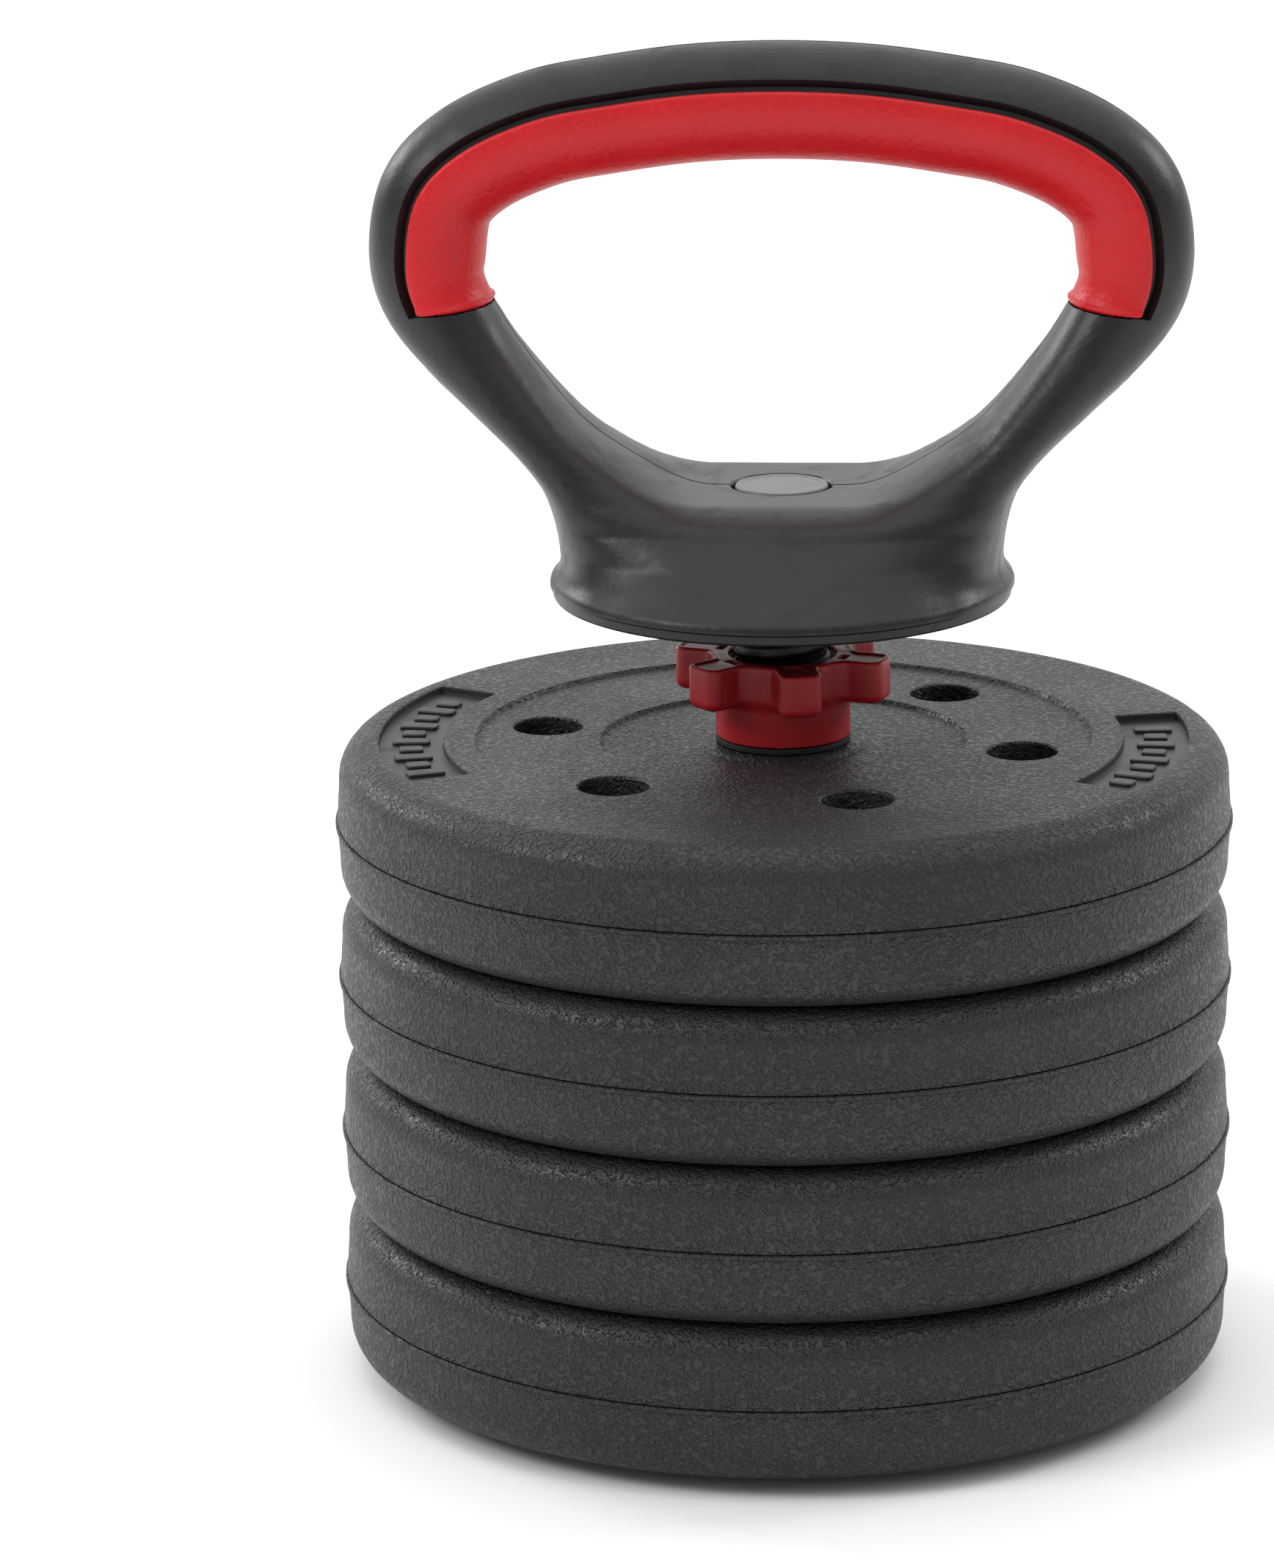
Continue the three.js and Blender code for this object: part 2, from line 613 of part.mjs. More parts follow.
/** The steel insert that the rod screws into. */
function threadInsert() {
  const thread = threadBar(shellBottom - 1, insertTop + 1, THREAD_CLEARANCE);
  return insertBody(0).subtract(thread);
}

/** The round cap in the saddle, trapped by its flange, grown by a clearance. */
function saddleCap(clearance, topExtra) {
  const outline = [
    [0, capFlangeBottom - clearance],
    [CAP_FLANGE_RADIUS + clearance, capFlangeBottom - clearance],
    [CAP_FLANGE_RADIUS + clearance, capBottom + clearance],
    [CAP_RADIUS + clearance, capBottom + clearance],
    [CAP_RADIUS + clearance, saddleTop + topExtra],
    [0, saddleTop + topExtra],
  ];
  return turned(outline, 20);
}

/** The whole handle body, before it is split along the loop's plane. */
function handleBody() {
  const bar = loft(loopRings(LOOP_STEPS, (across, deep, square) => oval(14, across, deep, square)));
  let body = bar.add(baseBell()).intersect(above(shellBottom));
  const channel = loft(loopRings(LOOP_STEPS, (across, deep) =>
    padBand(across, deep, 3, -PAD_THICKNESS - FIT_GAP, 2)));
  body = body.subtract(channel.intersect(above(padEnd - FIT_GAP)));
  const coreRoom = CORE_RADIUS + FIT_GAP;
  body = body.subtract(loft(loopRings(LOOP_STEPS, () => oval(8, coreRoom, coreRoom))));
  body = body.subtract(insertBody(FIT_GAP)).subtract(saddleCap(FIT_GAP, 1));
  body = body.subtract(post(rodPassage + FIT_GAP, shellBottom, saddleTop - 1, 14));
  for (const place of coverScrewPlaces) {
    body = body.subtract(coverScrew(place, FIT_GAP));
  }
  for (const x of [-SHELL_SCREW_OFFSET, SHELL_SCREW_OFFSET]) {
    body = body.subtract(shellScrew(x, FIT_GAP));
  }
  return body;
}

/** The red pad around the inside of the grip. */
function gripPad() {
  const band = loft(loopRings(LOOP_STEPS, (across, deep) =>
    padBand(across, deep, PAD_LIP, -PAD_THICKNESS, 0)));
  return band.intersect(above(padEnd));
}

/** The bent steel bar inside the loop. */
function handleCore() {
  const bar = loft(loopRings(LOOP_STEPS, () => oval(8, CORE_RADIUS, CORE_RADIUS)));
  return bar.intersect(above(shellBottom + FIT_GAP));
}

/** The round plate that closes the base from below. */
function baseCover() {
  const radius = BASE_RADIUS - COVER_INSET;
  let cover = post(radius, baseBottom, baseBottom + COVER_THICKNESS, 28);
  cover = cover.subtract(post(rodPassage + FIT_GAP, baseBottom - 1, shellBottom, 14));
  for (const place of coverScrewPlaces) {
    cover = cover.subtract(coverScrew(place, FIT_GAP));
  }
  return cover;
}

const body = handleBody();
const frontHalf = block([-farOut, -farOut, 0], [farOut, -FIT_GAP / 2, padEnd + farOut]);
const backHalf = block([-farOut, FIT_GAP / 2, 0], [farOut, farOut, padEnd + farOut]);
piece("handle_front_shell", body.intersect(frontHalf), BLACK, 0.5);
piece("handle_back_shell", body.intersect(backHalf), BLACK, 0.5);
piece("grip_pad", gripPad(), RED, 0.55);
piece("handle_core", handleCore(), STEEL, 0.4, 1);
piece("base_cover", baseCover(), BLACK, 0.5);
piece("thread_insert", threadInsert(), STEEL, 0.4, 1);
piece("saddle_cap", saddleCap(0, 0), GREY, 0.45);
coverScrewPlaces.forEach((place, i) =>
  piece(`cover_screw_${i + 1}`, coverScrew(place, 0), STEEL, 0.35, 1));
[-SHELL_SCREW_OFFSET, SHELL_SCREW_OFFSET].forEach((x, i) =>
  piece(`shell_screw_${i + 1}`, shellScrew(x, 0), STEEL, 0.35, 1));

export default group;
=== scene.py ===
"""Looks of an adjustable plate kettlebell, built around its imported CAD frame.

Sizes are in millimetres. Skin.as_object turns them into Blender's metres.
"""

import logging
import math
from abc import ABC, abstractmethod
from collections.abc import Callable, Iterator
from dataclasses import dataclass, field
from enum import Enum

import bmesh
import bpy
import numpy as np
import openvdb
from mathutils import Matrix, Vector


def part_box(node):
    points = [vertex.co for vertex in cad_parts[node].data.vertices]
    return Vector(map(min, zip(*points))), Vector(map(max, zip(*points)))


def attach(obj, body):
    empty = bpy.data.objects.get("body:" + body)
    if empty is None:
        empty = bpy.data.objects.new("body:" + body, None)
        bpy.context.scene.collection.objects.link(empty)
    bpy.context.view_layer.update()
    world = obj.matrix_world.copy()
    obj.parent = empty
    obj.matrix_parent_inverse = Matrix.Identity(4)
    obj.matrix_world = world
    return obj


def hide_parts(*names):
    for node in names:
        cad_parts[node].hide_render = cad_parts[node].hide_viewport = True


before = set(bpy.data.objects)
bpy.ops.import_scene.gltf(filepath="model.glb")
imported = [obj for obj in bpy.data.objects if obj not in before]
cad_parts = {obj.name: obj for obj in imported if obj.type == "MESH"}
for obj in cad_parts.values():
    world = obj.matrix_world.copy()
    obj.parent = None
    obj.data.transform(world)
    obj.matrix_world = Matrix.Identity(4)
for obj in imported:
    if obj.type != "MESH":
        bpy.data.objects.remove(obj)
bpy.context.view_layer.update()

MM = 0.001
TAU = 2 * math.pi
log = logging.getLogger("kettlebell")


def span(node: str) -> tuple[float, float]:
    """Lowest and highest height of a CAD node, in millimetres."""
    low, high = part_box(node)
    return low.z / MM, high.z / MM


# ------------------------------------------------------------------ meshes
class Cut(Enum):
    """How one solid acts on another."""

    ADD = "UNION"
    REMOVE = "DIFFERENCE"
    KEEP = "INTERSECT"


@dataclass
class Skin:
    """A closed surface: points in millimetres, and faces as tuples of point numbers."""

    points: np.ndarray
    faces: list[tuple[int, ...]]

    def moved(self, x: float = 0.0, y: float = 0.0, z: float = 0.0) -> "Skin":
        """This skin, shifted."""
        return Skin(self.points + np.array([x, y, z]), self.faces)

    def spun(self, degrees: float) -> "Skin":
        """This skin, turned about the upright axis."""
        turn = np.array(Matrix.Rotation(math.radians(degrees), 3, "Z"))
        return Skin(self.points @ turn.T, self.faces)

    def tipped(self, degrees: float, axis: str = "X") -> "Skin":
        """This skin, turned about the X or Y axis."""
        turn = np.array(Matrix.Rotation(math.radians(degrees), 3, axis))
        return Skin(self.points @ turn.T, self.faces)

    def flipped(self) -> "Skin":
        """This skin, mirrored top to bottom."""
        points = self.points * np.array([1, 1, -1])
        return Skin(points, [tuple(reversed(face)) for face in self.faces])

    def plus(self, *others: "Skin") -> "Skin":
        """This skin with separate ones beside it, as one mesh.

        Args:
            others: skins that don't touch this one or each other.

        Returns:
            One skin that holds them all.
        """
        points, faces = [self.points], list(self.faces)
        count = len(self.points)
        for other in others:
            points.append(other.points)
            faces += [tuple(i + count for i in face) for face in other.faces]
            count += len(other.points)
        return Skin(np.vstack(points), faces)

    def as_object(self, name: str) -> bpy.types.Object:
        """A Blender object of this skin, in metres, with its faces outwards.

        Args:
            name: the object's name.

        Returns:
            The new object, linked to the scene.
        """
        mesh = bpy.data.meshes.new(name)
        mesh.from_pydata((self.points * MM).tolist(), [], self.faces)
        shape = bmesh.new()
        shape.from_mesh(mesh)
        if shape.calc_volume(signed=True) < 0:
            bmesh.ops.reverse_faces(shape, faces=shape.faces)
            shape.to_mesh(mesh)
        shape.free()
        made = bpy.data.objects.new(name, mesh)
        bpy.context.scene.collection.objects.link(made)
        return made

    def joined(self, *others: "Skin") -> "Skin":
        """This solid with others added to it, which don't touch each other."""
        return self.cut(Cut.ADD, others[0].plus(*others[1:]))

    def without(self, *tools: "Skin") -> "Skin":
        """This solid with the shapes of separate tools taken out of it."""
        return self.cut(Cut.REMOVE, tools[0].plus(*tools[1:]))

    def cut(self, how: Cut, tool: "Skin") -> "Skin":
        """This solid after another one acts on it.

        Args:
            how: add, remove or keep what the tool covers.
            tool: the closed skin that does it.

        Returns:
            The resulting skin.
        """
        body, cutter = self.as_object("cut_body"), tool.as_object("cut_tool")
        modifier = body.modifiers.new("cut", "BOOLEAN")
        modifier.operation, modifier.solver, modifier.object = how.value, "MANIFOLD", cutter
        mesh = body.evaluated_get(bpy.context.evaluated_depsgraph_get()).to_mesh()
        points = np.empty(len(mesh.vertices) * 3)
        mesh.vertices.foreach_get("co", points)
        faces = [tuple(polygon.vertices) for polygon in mesh.polygons]
        for used in (body, cutter):
            data = used.data
            bpy.data.objects.remove(used)
            bpy.data.meshes.remove(data)
        return Skin(points.reshape(-1, 3) / MM, faces)


def rounded(corners: list[tuple[float, ...]]) -> list[tuple[float, float]]:
    """Rounds the corners of a closed outline.

    Args:
        corners: (radius, height) or (radius, height, rounding) of each corner in turn.

    Returns:
        The outline's points, with an arc in place of each corner that has a rounding.
    """
    outline = []
    for i, corner in enumerate(corners):
        here = Vector(corner[:2])
        size = corner[2] if len(corner) > 2 else 0
        if not size:
            outline.append(tuple(here))
            continue
        back = (Vector(corners[i - 1][:2]) - here).normalized()
        on = (Vector(corners[(i + 1) % len(corners)][:2]) - here).normalized()
        half = back.angle(on) / 2
        centre = here + (back + on).normalized() * size / math.sin(half)
        first, last = here + back * size / math.tan(half), here + on * size / math.tan(half)
        sweep = math.pi - 2 * half
        steps = max(2, round(sweep / math.radians(11)))
        for k in range(steps + 1):
            share = math.sin(sweep * k / steps) / math.sin(sweep) if sweep < 3 else k / steps
            rest = math.sin(sweep * (1 - k / steps)) / math.sin(sweep)
            outline.append(tuple(centre + (first - centre) * rest + (last - centre) * share))
    return outline


def turned(corners: list[tuple[float, ...]], segments: int = 160) -> Skin:
    """Revolves a closed outline about the upright axis.

    Args:
        corners: the outline, as rounded() takes it. A radius of zero lies on the axis.
        segments: how many steps there are in a turn.

    Returns:
        The turned skin.
    """
    outline = rounded(corners)
    points, rows = [], []
    for radius, height in outline:
        count = 1 if radius < 1e-6 else segments
        rows.append([len(points) + i for i in range(count)] * (segments // count))
        angles = [TAU * i / count for i in range(count)]
        points += [(radius * math.cos(a), radius * math.sin(a), height) for a in angles]
    faces = []
    for row, above in zip(rows, rows[1:] + rows[:1]):
        for i in range(segments):
            j = (i + 1) % segments
            face = tuple(dict.fromkeys((row[i], row[j], above[j], above[i])))
            if len(face) > 2:
                faces.append(face)
    return Skin(np.array(points), faces)


def post(radius: float, low: float, high: float, flare: float = 0.0) -> Skin:
    """A round cutter or bar along the upright axis.

    Args:
        radius: its radius.
        low: its lowest height.
        high: its highest height.
        flare: how far it widens in a curve over the last stretch below high - 1.

    Returns:
        The skin of the post.
    """
    outline = [(0.0, low), (radius, low)]
    if flare:
        for k in range(5):
            angle = k / 4 * TAU / 4
            reach = radius + flare * (1 - math.cos(angle))
            outline.append((reach, high - 1 - flare * (1 - math.sin(angle))))
        outline.append((radius + flare, high))
    else:
        outline.append((radius, high))
    return turned([*outline, (0.0, high)], 64)


def block(low: tuple[float, float, float], high: tuple[float, float, float]) -> Skin:
    """A box between two corners, for cutting with."""
    points = [(x, y, z) for x in (low[0], high[0]) for y in (low[1], high[1])
              for z in (low[2], high[2])]
    faces = [(0, 1, 3, 2), (4, 6, 7, 5), (0, 4, 5, 1), (2, 3, 7, 6), (0, 2, 6, 4), (1, 5, 7, 3)]
    return Skin(np.array(points, float), faces)


def stacked(rings: list[np.ndarray]) -> Skin:
    """Joins closed rings of equal counts of points, with flat ends.

    Args:
        rings: arrays of points, one for each ring, from one end to the other.

    Returns:
        The closed skin.
    """
    count = len(rings[0])
    faces = [tuple(reversed(range(count)))]
    for k in range(len(rings) - 1):
        for i in range(count):
            j = (i + 1) % count
            faces.append((k * count + i, k * count + j, (k + 1) * count + j, (k + 1) * count + i))
    last = (len(rings) - 1) * count
    faces.append(tuple(range(last, last + count)))
    return Skin(np.vstack(rings), faces)


def sheet_pair(outer: np.ndarray, inner: np.ndarray) -> Skin:
    """Closes two grids of points of the same size into one solid, joined at their borders.

    Args:
        outer: points on the outside, as rows and columns.
        inner: points on the inside, as rows and columns.

    Returns:
        The closed skin.
    """
    rows, columns = outer.shape[:2]
    grid = np.arange(rows * columns).reshape(rows, columns)
    under = grid + rows * columns
    faces = []
    for i in range(rows - 1):
        for j in range(columns - 1):
            faces.append((grid[i, j], grid[i + 1, j], grid[i + 1, j + 1], grid[i, j + 1]))
            faces.append((under[i, j], under[i, j + 1], under[i + 1, j + 1], under[i + 1, j]))
    border = [*grid[0, :-1], *grid[:-1, -1], *grid[-1, :0:-1], *grid[:0:-1, 0]]
    depth = rows * columns
    for a, b in zip(border, border[1:] + border[:1]):
        faces.append((a, b, b + depth, a + depth))
    return Skin(np.vstack([outer.reshape(-1, 3), inner.reshape(-1, 3)]),
                [tuple(map(int, face)) for face in faces])


def surface_of(distance: np.ndarray, low: tuple[float, float, float], step: float) -> Skin:
    """The surface where a grid of distances is zero.

    Args:
        distance: distances in millimetres, negative inside, as x, y and z rows.
        low: the place of the grid's first value.
        step: the grid's spacing.

    Returns:
        The closed skin, in even four-sided faces.
    """
    grid = openvdb.FloatGrid(background=5.0)
    grid.copyFromArray(np.clip(distance, -5, 5).astype(np.float32))
    points, triangles, quads = grid.convertToPolygons(isovalue=0.0, adaptivity=0.0)
    return Skin(points * step + np.array(low), quads.tolist() + triangles.tolist())


def soft_union(one: np.ndarray, other: np.ndarray, width: float) -> np.ndarray:
    """Two distance fields joined by a fillet of about the given width."""
    share = np.clip(0.5 + 0.5 * (other - one) / width, 0, 1)
    return other * (1 - share) + one * share - width * share * (1 - share)


@dataclass(frozen=True)
class Thread:
    """The rod's right-hand thread, with rounded crests and roots."""

    root: float = 11.4
    crest: float = 12.55
    pitch: float = 6.75

    def radius(self, phase: np.ndarray) -> np.ndarray:
        """The radius at a share of the pitch, from 0 to 1."""
        up = np.clip((phase - 0.34) / 0.2, 0, 1)
        down = np.clip((phase - 0.84) / 0.2, 0, 1) + np.clip((0.04 - phase) / 0.2, 0, 1)
        rise = up * up * (3 - 2 * up) - down * down * (3 - 2 * down)
        return self.root + (self.crest - self.root) * np.clip(rise, 0, 1)

    def bar(self, low: float, high: float, columns: int = 96, rows: int = 14) -> Skin:
        """A threaded bar, cut flat at two heights.

        Args:
            low: its lowest height.
            high: its highest height.
            columns: points around it.
            rows: points in one pitch.

        Returns:
            The bar's skin.
        """
        first = math.floor(low / self.pitch) - 1
        count = (math.ceil(high / self.pitch) + 1 - first) * rows
        row = np.arange(count + 1)[:, None] / rows
        share = np.arange(columns)[None] / columns
        reach = self.radius((row - share) % 1.0)
        heights = (first + row + 0 * share) * self.pitch
        rings = np.stack([reach * np.cos(TAU * share), reach * np.sin(TAU * share), heights], 2)
        return stacked(list(rings)).cut(Cut.KEEP, post(2 * self.crest, low, high))


# ------------------------------------------------------------------ finishes
class Bench:
    """Builds one material's nodes."""

    def __init__(self, name: str) -> None:
        """Starts a material with a Principled shader and the piece's own coordinates."""
        self.material = bpy.data.materials.new(name)
        self.material.use_nodes = True
        self.tree = self.material.node_tree
        self.shader = self.tree.nodes["Principled BSDF"]
        self.place = self.tree.nodes.new("ShaderNodeTexCoord").outputs["Object"]

    def node(self, kind: str, inputs: dict, **settings: object) -> bpy.types.Node:
        """Adds a node.

        Args:
            kind: the node's type, without the ShaderNode prefix.
            inputs: a value or another node's output for each named or numbered input.
            settings: the node's own options.

        Returns:
            The new node.
        """
        made = self.tree.nodes.new("ShaderNode" + kind)
        for name, value in settings.items():
            setattr(made, name, value)
        for name, value in inputs.items():
            if isinstance(value, bpy.types.NodeSocket):
                self.tree.links.new(value, made.inputs[name])
            else:
                made.inputs[name].default_value = value
        return made

    def noise(self, scale: float, detail: float = 2.0, distortion: float = 0.0) -> object:
        """A noise value. scale is in features for each metre."""
        inputs = {"Vector": self.place, "Scale": scale, "Detail": detail,
                  "Distortion": distortion}
        return self.node("TexNoise", inputs).outputs[0]

    def spread(self, value: object, source: tuple[float, float], target: tuple[float, float],
               soft: bool = False) -> object:
        """Maps a value from one range to another, held at the ends."""
        inputs = {0: value, 1: source[0], 2: source[1], 3: target[0], 4: target[1]}
        kind = "SMOOTHSTEP" if soft else "LINEAR"
        return self.node("MapRange", inputs, interpolation_type=kind).outputs[0]

    def maths(self, action: str, one: object, other: object = 0.0) -> object:
        """One sum on two values."""
        return self.node("Math", {0: one, 1: other}, operation=action).outputs[0]

    def blend(self, share: object, one: tuple, other: tuple) -> object:
        """A colour between two others, by a share."""
        inputs = {0: share, 6: (*one, 1), 7: (*other, 1)}
        return self.node("Mix", inputs, data_type="RGBA").outputs[2]

    def relief(self, height: object, depth: float, below: object | None = None) -> object:
        """A bump of the given depth in millimetres, on top of another bump if there is one."""
        inputs = {"Height": height, "Distance": depth * MM, "Strength": 1.0}
        if below is not None:
            inputs["Normal"] = below
        return self.node("Bump", inputs).outputs[0]

    def finish(self, colour: object, rough: object, normal: object, **fixed: float) -> None:
        """Connects the shader.

        Args:
            colour: the base colour's output.
            rough: the roughness output.
            normal: the bump output.
            fixed: values for the shader's other inputs, with _ for a space.
        """
        self.tree.links.new(colour, self.shader.inputs["Base Color"])
        self.tree.links.new(rough, self.shader.inputs["Roughness"])
        self.tree.links.new(normal, self.shader.inputs["Normal"])
        for name, value in fixed.items():
            self.shader.inputs[name.replace("_", " ")].default_value = value


def scaled(colour: tuple[float, float, float], by: float) -> tuple[float, float, float]:
    """A colour made darker or lighter."""
    return tuple(channel * by for channel in colour)


@dataclass(frozen=True)
class Finish(ABC):
    """A surface finish that can be made into a material."""

    name: str
    colour: tuple[float, float, float]
    rough: float

    @abstractmethod
    def lay(self, bench: Bench) -> None:
        """Builds the finish's nodes on a bench."""

    def material(self) -> bpy.types.Material:
        """The finish's material, made once."""
        found = bpy.data.materials.get(self.name)
        if found:
            return found
        bench = Bench(self.name)
        self.lay(bench)
        return bench.material


@dataclass(frozen=True)
class LeatherGrain(Finish):
    """Moulded plastic with a coarse grain of short wavy ridges, with a painted highlight on their
    crests.
    """

    ridge: float = 0.8
    cells: float = 800.0
    gloss: float = 0.4

    def lay(self, bench: Bench) -> None:
        """Builds short ridges by splitting a noise into high and low, painted lighter on their
        crests as a painted highlight, with dusty patches.
        """
        ridges_and_highlight = bench.spread(bench.noise(self.cells, 0.0, 0.9), (0.42, 0.6), (0.0, 1.0), soft=True)
        cloud = bench.noise(22.0, 4.0)
        dusty = bench.spread(cloud, (0.35, 0.7), (0.0, 1.0))
        # The colour is lighter on the ridge crests, which is a painted highlight, and in the dusty
        # patches, which are random.
        share = bench.maths("ADD", bench.maths("MULTIPLY", ridges_and_highlight, 0.6),
                            bench.maths("MULTIPLY", dusty, 0.4))
        colour = bench.blend(share, scaled(self.colour, 0.72), scaled(self.colour, 1.25))
        rough = bench.spread(share, (0.0, 1.0), (self.rough + 0.12, self.rough - 0.08))
        fine = bench.relief(bench.noise(2600.0, 2.0), 0.03)
        bench.finish(colour, rough, bench.relief(ridges_and_highlight, self.ridge, fine),
                     Specular_IOR_Level=self.gloss)


@dataclass(frozen=True)
class SatinPlastic(Finish):
    """Moulded plastic with a fine grain, faint flow marks and light handling wear."""

    grain: float = 0.035
    cells: float = 1500.0
    gloss: float = 0.4
    flow: float = 0.35

    def lay(self, bench: Bench) -> None:
        """Builds the grain, slow colour change and duller, rubbed patches."""
        fine = bench.noise(self.cells, 3.0)
        cloud = bench.noise(14.0, 5.0, 0.8)
        rubbed = bench.spread(bench.noise(46.0, 6.0, 1.4), (0.5, 0.72), (0.0, 1.0), soft=True)
        share = bench.maths("ADD", bench.maths("MULTIPLY", cloud, 1 - self.flow),
                            bench.maths("MULTIPLY", fine, self.flow))
        colour = bench.blend(bench.spread(share, (0.3, 0.7), (0.0, 1.0)),
                             scaled(self.colour, 0.82), scaled(self.colour, 1.22))
        rough = bench.spread(rubbed, (0.0, 1.0), (self.rough, self.rough + 0.12))
        waves = bench.relief(bench.noise(190.0, 3.0), 0.16)
        bench.finish(colour, rough, bench.relief(fine, self.grain, waves),
                     Specular_IOR_Level=self.gloss)


@dataclass(frozen=True)
class SoftRubber(Finish):
    """Soft rubber with fine pebbles, a painted highlight on their crests and a dull bloom."""

    pebbles: float = 900.0
    bump: float = 0.09
    gloss: float = 0.35

    def lay(self, bench: Bench) -> None:
        """Builds the pebbles, a painted highlight that makes their crests paler, and the bloom."""
        cells = bench.node("TexVoronoi", {"Vector": bench.place, "Scale": self.pebbles},
                           feature="SMOOTH_F1")
        pebble_height_and_highlight = bench.spread(cells.outputs["Distance"], (0.0, 0.7), (1.0, 0.0))
        bloom = bench.spread(bench.noise(30.0, 4.0, 0.5), (0.35, 0.7), (0.0, 1.0))
        # The pebbles' crests are painted paler as a painted highlight; the bloom is random.
        share = bench.maths("ADD", bench.maths("MULTIPLY", pebble_height_and_highlight, 0.5),
                            bench.maths("MULTIPLY", bloom, 0.5))
        colour = bench.blend(share, scaled(self.colour, 0.86), scaled(self.colour, 1.1))
        rough = bench.spread(share, (0.0, 1.0), (self.rough - 0.05, self.rough + 0.07))
        bench.finish(colour, rough, bench.relief(pebble_height_and_highlight, self.bump),
                     Specular_IOR_Level=self.gloss)


@dataclass(frozen=True)
class PlatedSteel(Finish):
    """Zinc-plated steel with fine turning marks and dull spots."""

    def lay(self, bench: Bench) -> None:
        """Builds stretched streaks and spots of tarnish."""
        squeeze = bench.node("Mapping", {"Vector": bench.place, "Scale": (1, 1, 14)})
        streaks = bench.node("TexNoise", {"Vector": squeeze.outputs[0], "Scale": 900.0,
                                          "Detail": 3.0}).outputs[0]
        spots = bench.spread(bench.noise(160.0, 5.0), (0.5, 0.75), (0.0, 1.0), soft=True)
        colour = bench.blend(spots, self.colour, scaled(self.colour, 0.55))
        rough = bench.maths("ADD", bench.spread(streaks, (0.3, 0.7), (0.0, 0.16)),
                            bench.spread(spots, (0.0, 1.0), (self.rough, self.rough + 0.22)))
        bench.finish(colour, rough, bench.relief(streaks, 0.01), Metallic=1.0)


@dataclass(frozen=True)
class CementFill(Finish):
    """Cement with sand grains and small pits, with painted shade in the pits."""

    def lay(self, bench: Bench) -> None:
        """Builds the sand's speckle and the pits, with the pits painted darker as painted shade.
        """
        sand = bench.node("TexVoronoi", {"Vector": bench.place, "Scale": 1200.0}).outputs[0]
        pits = bench.spread(bench.noise(260.0, 6.0), (0.3, 0.45), (0.0, 1.0), soft=True)
        # The sand's speckle is the cement's own colour; the darker pits are painted shade.
        colour = bench.blend(bench.maths("MULTIPLY", sand, pits), scaled(self.colour, 0.6),
                             scaled(self.colour, 1.2))
        rough = bench.spread(pits, (0.0, 1.0), (self.rough, self.rough - 0.12))
        bench.finish(colour, rough, bench.relief(pits, 0.4))


PLATE = LeatherGrain("plate_grain", (0.022, 0.022, 0.0225), 0.44)
PLATE_LABEL = SatinPlastic("plate_label", (0.02, 0.02, 0.0205), 0.45, grain=0.015)
SHELL = SatinPlastic("handle_satin", (0.0085, 0.0086, 0.009), 0.38, grain=0.06, gloss=0.42)
ROD = SatinPlastic("rod_satin", (0.008, 0.008, 0.009), 0.36, grain=0.02)
NUT = SatinPlastic("nut_red", (0.46, 0.012, 0.018), 0.36, grain=0.02, gloss=0.5, flow=0.15)
CAP = SatinPlastic("cap_grey", (0.14, 0.14, 0.143), 0.42, grain=0.02)
GRIP = SoftRubber("grip_red", (0.56, 0.008, 0.012), 0.42, pebbles=800.0)
RUBBER = SoftRubber("rubber_black", (0.02, 0.02, 0.02), 0.75, pebbles=700.0)
STEEL = PlatedSteel("steel_zinc", (0.5, 0.5, 0.51), 0.28)
CEMENT = CementFill("cement_fill", (0.32, 0.3, 0.27), 0.9)


# ------------------------------------------------------------------ pieces
@dataclass
class Piece:
    """One finished piece and what it stands for."""

    name: str
    skin: Skin
    body: str
    node: str
    slot: str
    finish: Finish
    sharp: float = 32.0
    second: Finish | None = None
    second_where: Callable[[np.ndarray], np.ndarray] | None = None

    def make(self) -> bpy.types.Object:
        """Builds the object, dresses it and ties it to the frame.

        Returns:
            The finished object.
        """
        made = self.skin.as_object(self.name)
        mesh = made.data
        mesh.shade_smooth()
        mesh.set_sharp_from_angle(angle=math.radians(self.sharp))
        evened = made.modifiers.new("even_shading", "WEIGHTED_NORMAL")
        evened.keep_sharp = True
        mesh.materials.append(self.finish.material())
        if self.second and self.second_where:
            mesh.materials.append(self.second.material())
            centres = np.empty(len(mesh.polygons) * 3)
            mesh.polygons.foreach_get("center", centres)
            picked = self.second_where(centres.reshape(-1, 3) / MM).astype(np.int32)
            mesh.polygons.foreach_set("material_index", picked)
        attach(made, self.body)
        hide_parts(self.node)
        log.info("%s: %d faces on %s", self.name, len(mesh.polygons), self.body)
        return made


def dress_node(node: str, finish: Finish) -> None:
    """Gives a CAD node that stays in view its finish."""
    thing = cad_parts[node]
    thing.data.materials.clear()
    thing.data.materials.append(finish.material())
    log.info("%s: kept from the frame", node)


class Assembly(ABC):
    """A group of pieces that are made and fitted together."""

    @abstractmethod
    def pieces(self) -> Iterator[Piece]:
        """The group's new pieces, in the order in which they are made."""

    def kept(self) -> dict[str, Finish]:
        """The CAD nodes that stay, with their finishes."""
        return {}

    def build(self) -> None:
        """Makes every piece and dresses the nodes that stay."""
        for piece in self.pieces():
            piece.make()
        for node, finish in self.kept().items():
            dress_node(node, finish)


def screw(radius: float, thick: float, shank: float, length: float) -> Skin:
    """A cross-head screw, head down, with its head's face at height zero.

    Args:
        radius: the head's radius.
        thick: the head's thickness.
        shank: the shank's radius.
        length: the shank's length.

    Returns:
        The screw's skin.
    """
    tip = thick + length
    body = turned([(0, 0), (radius, 0, 0.5), (radius, thick), (shank, thick),
                   (shank, tip - 2), (0.3, tip), (0, tip)], 48)
    arm, width = radius * 0.55, radius * 0.14
    deep = thick * 0.8
    for long, short in ((arm, width), (width, arm)):
        body = body.without(block((-long, -short, -1), (long, short, deep)))
    return body


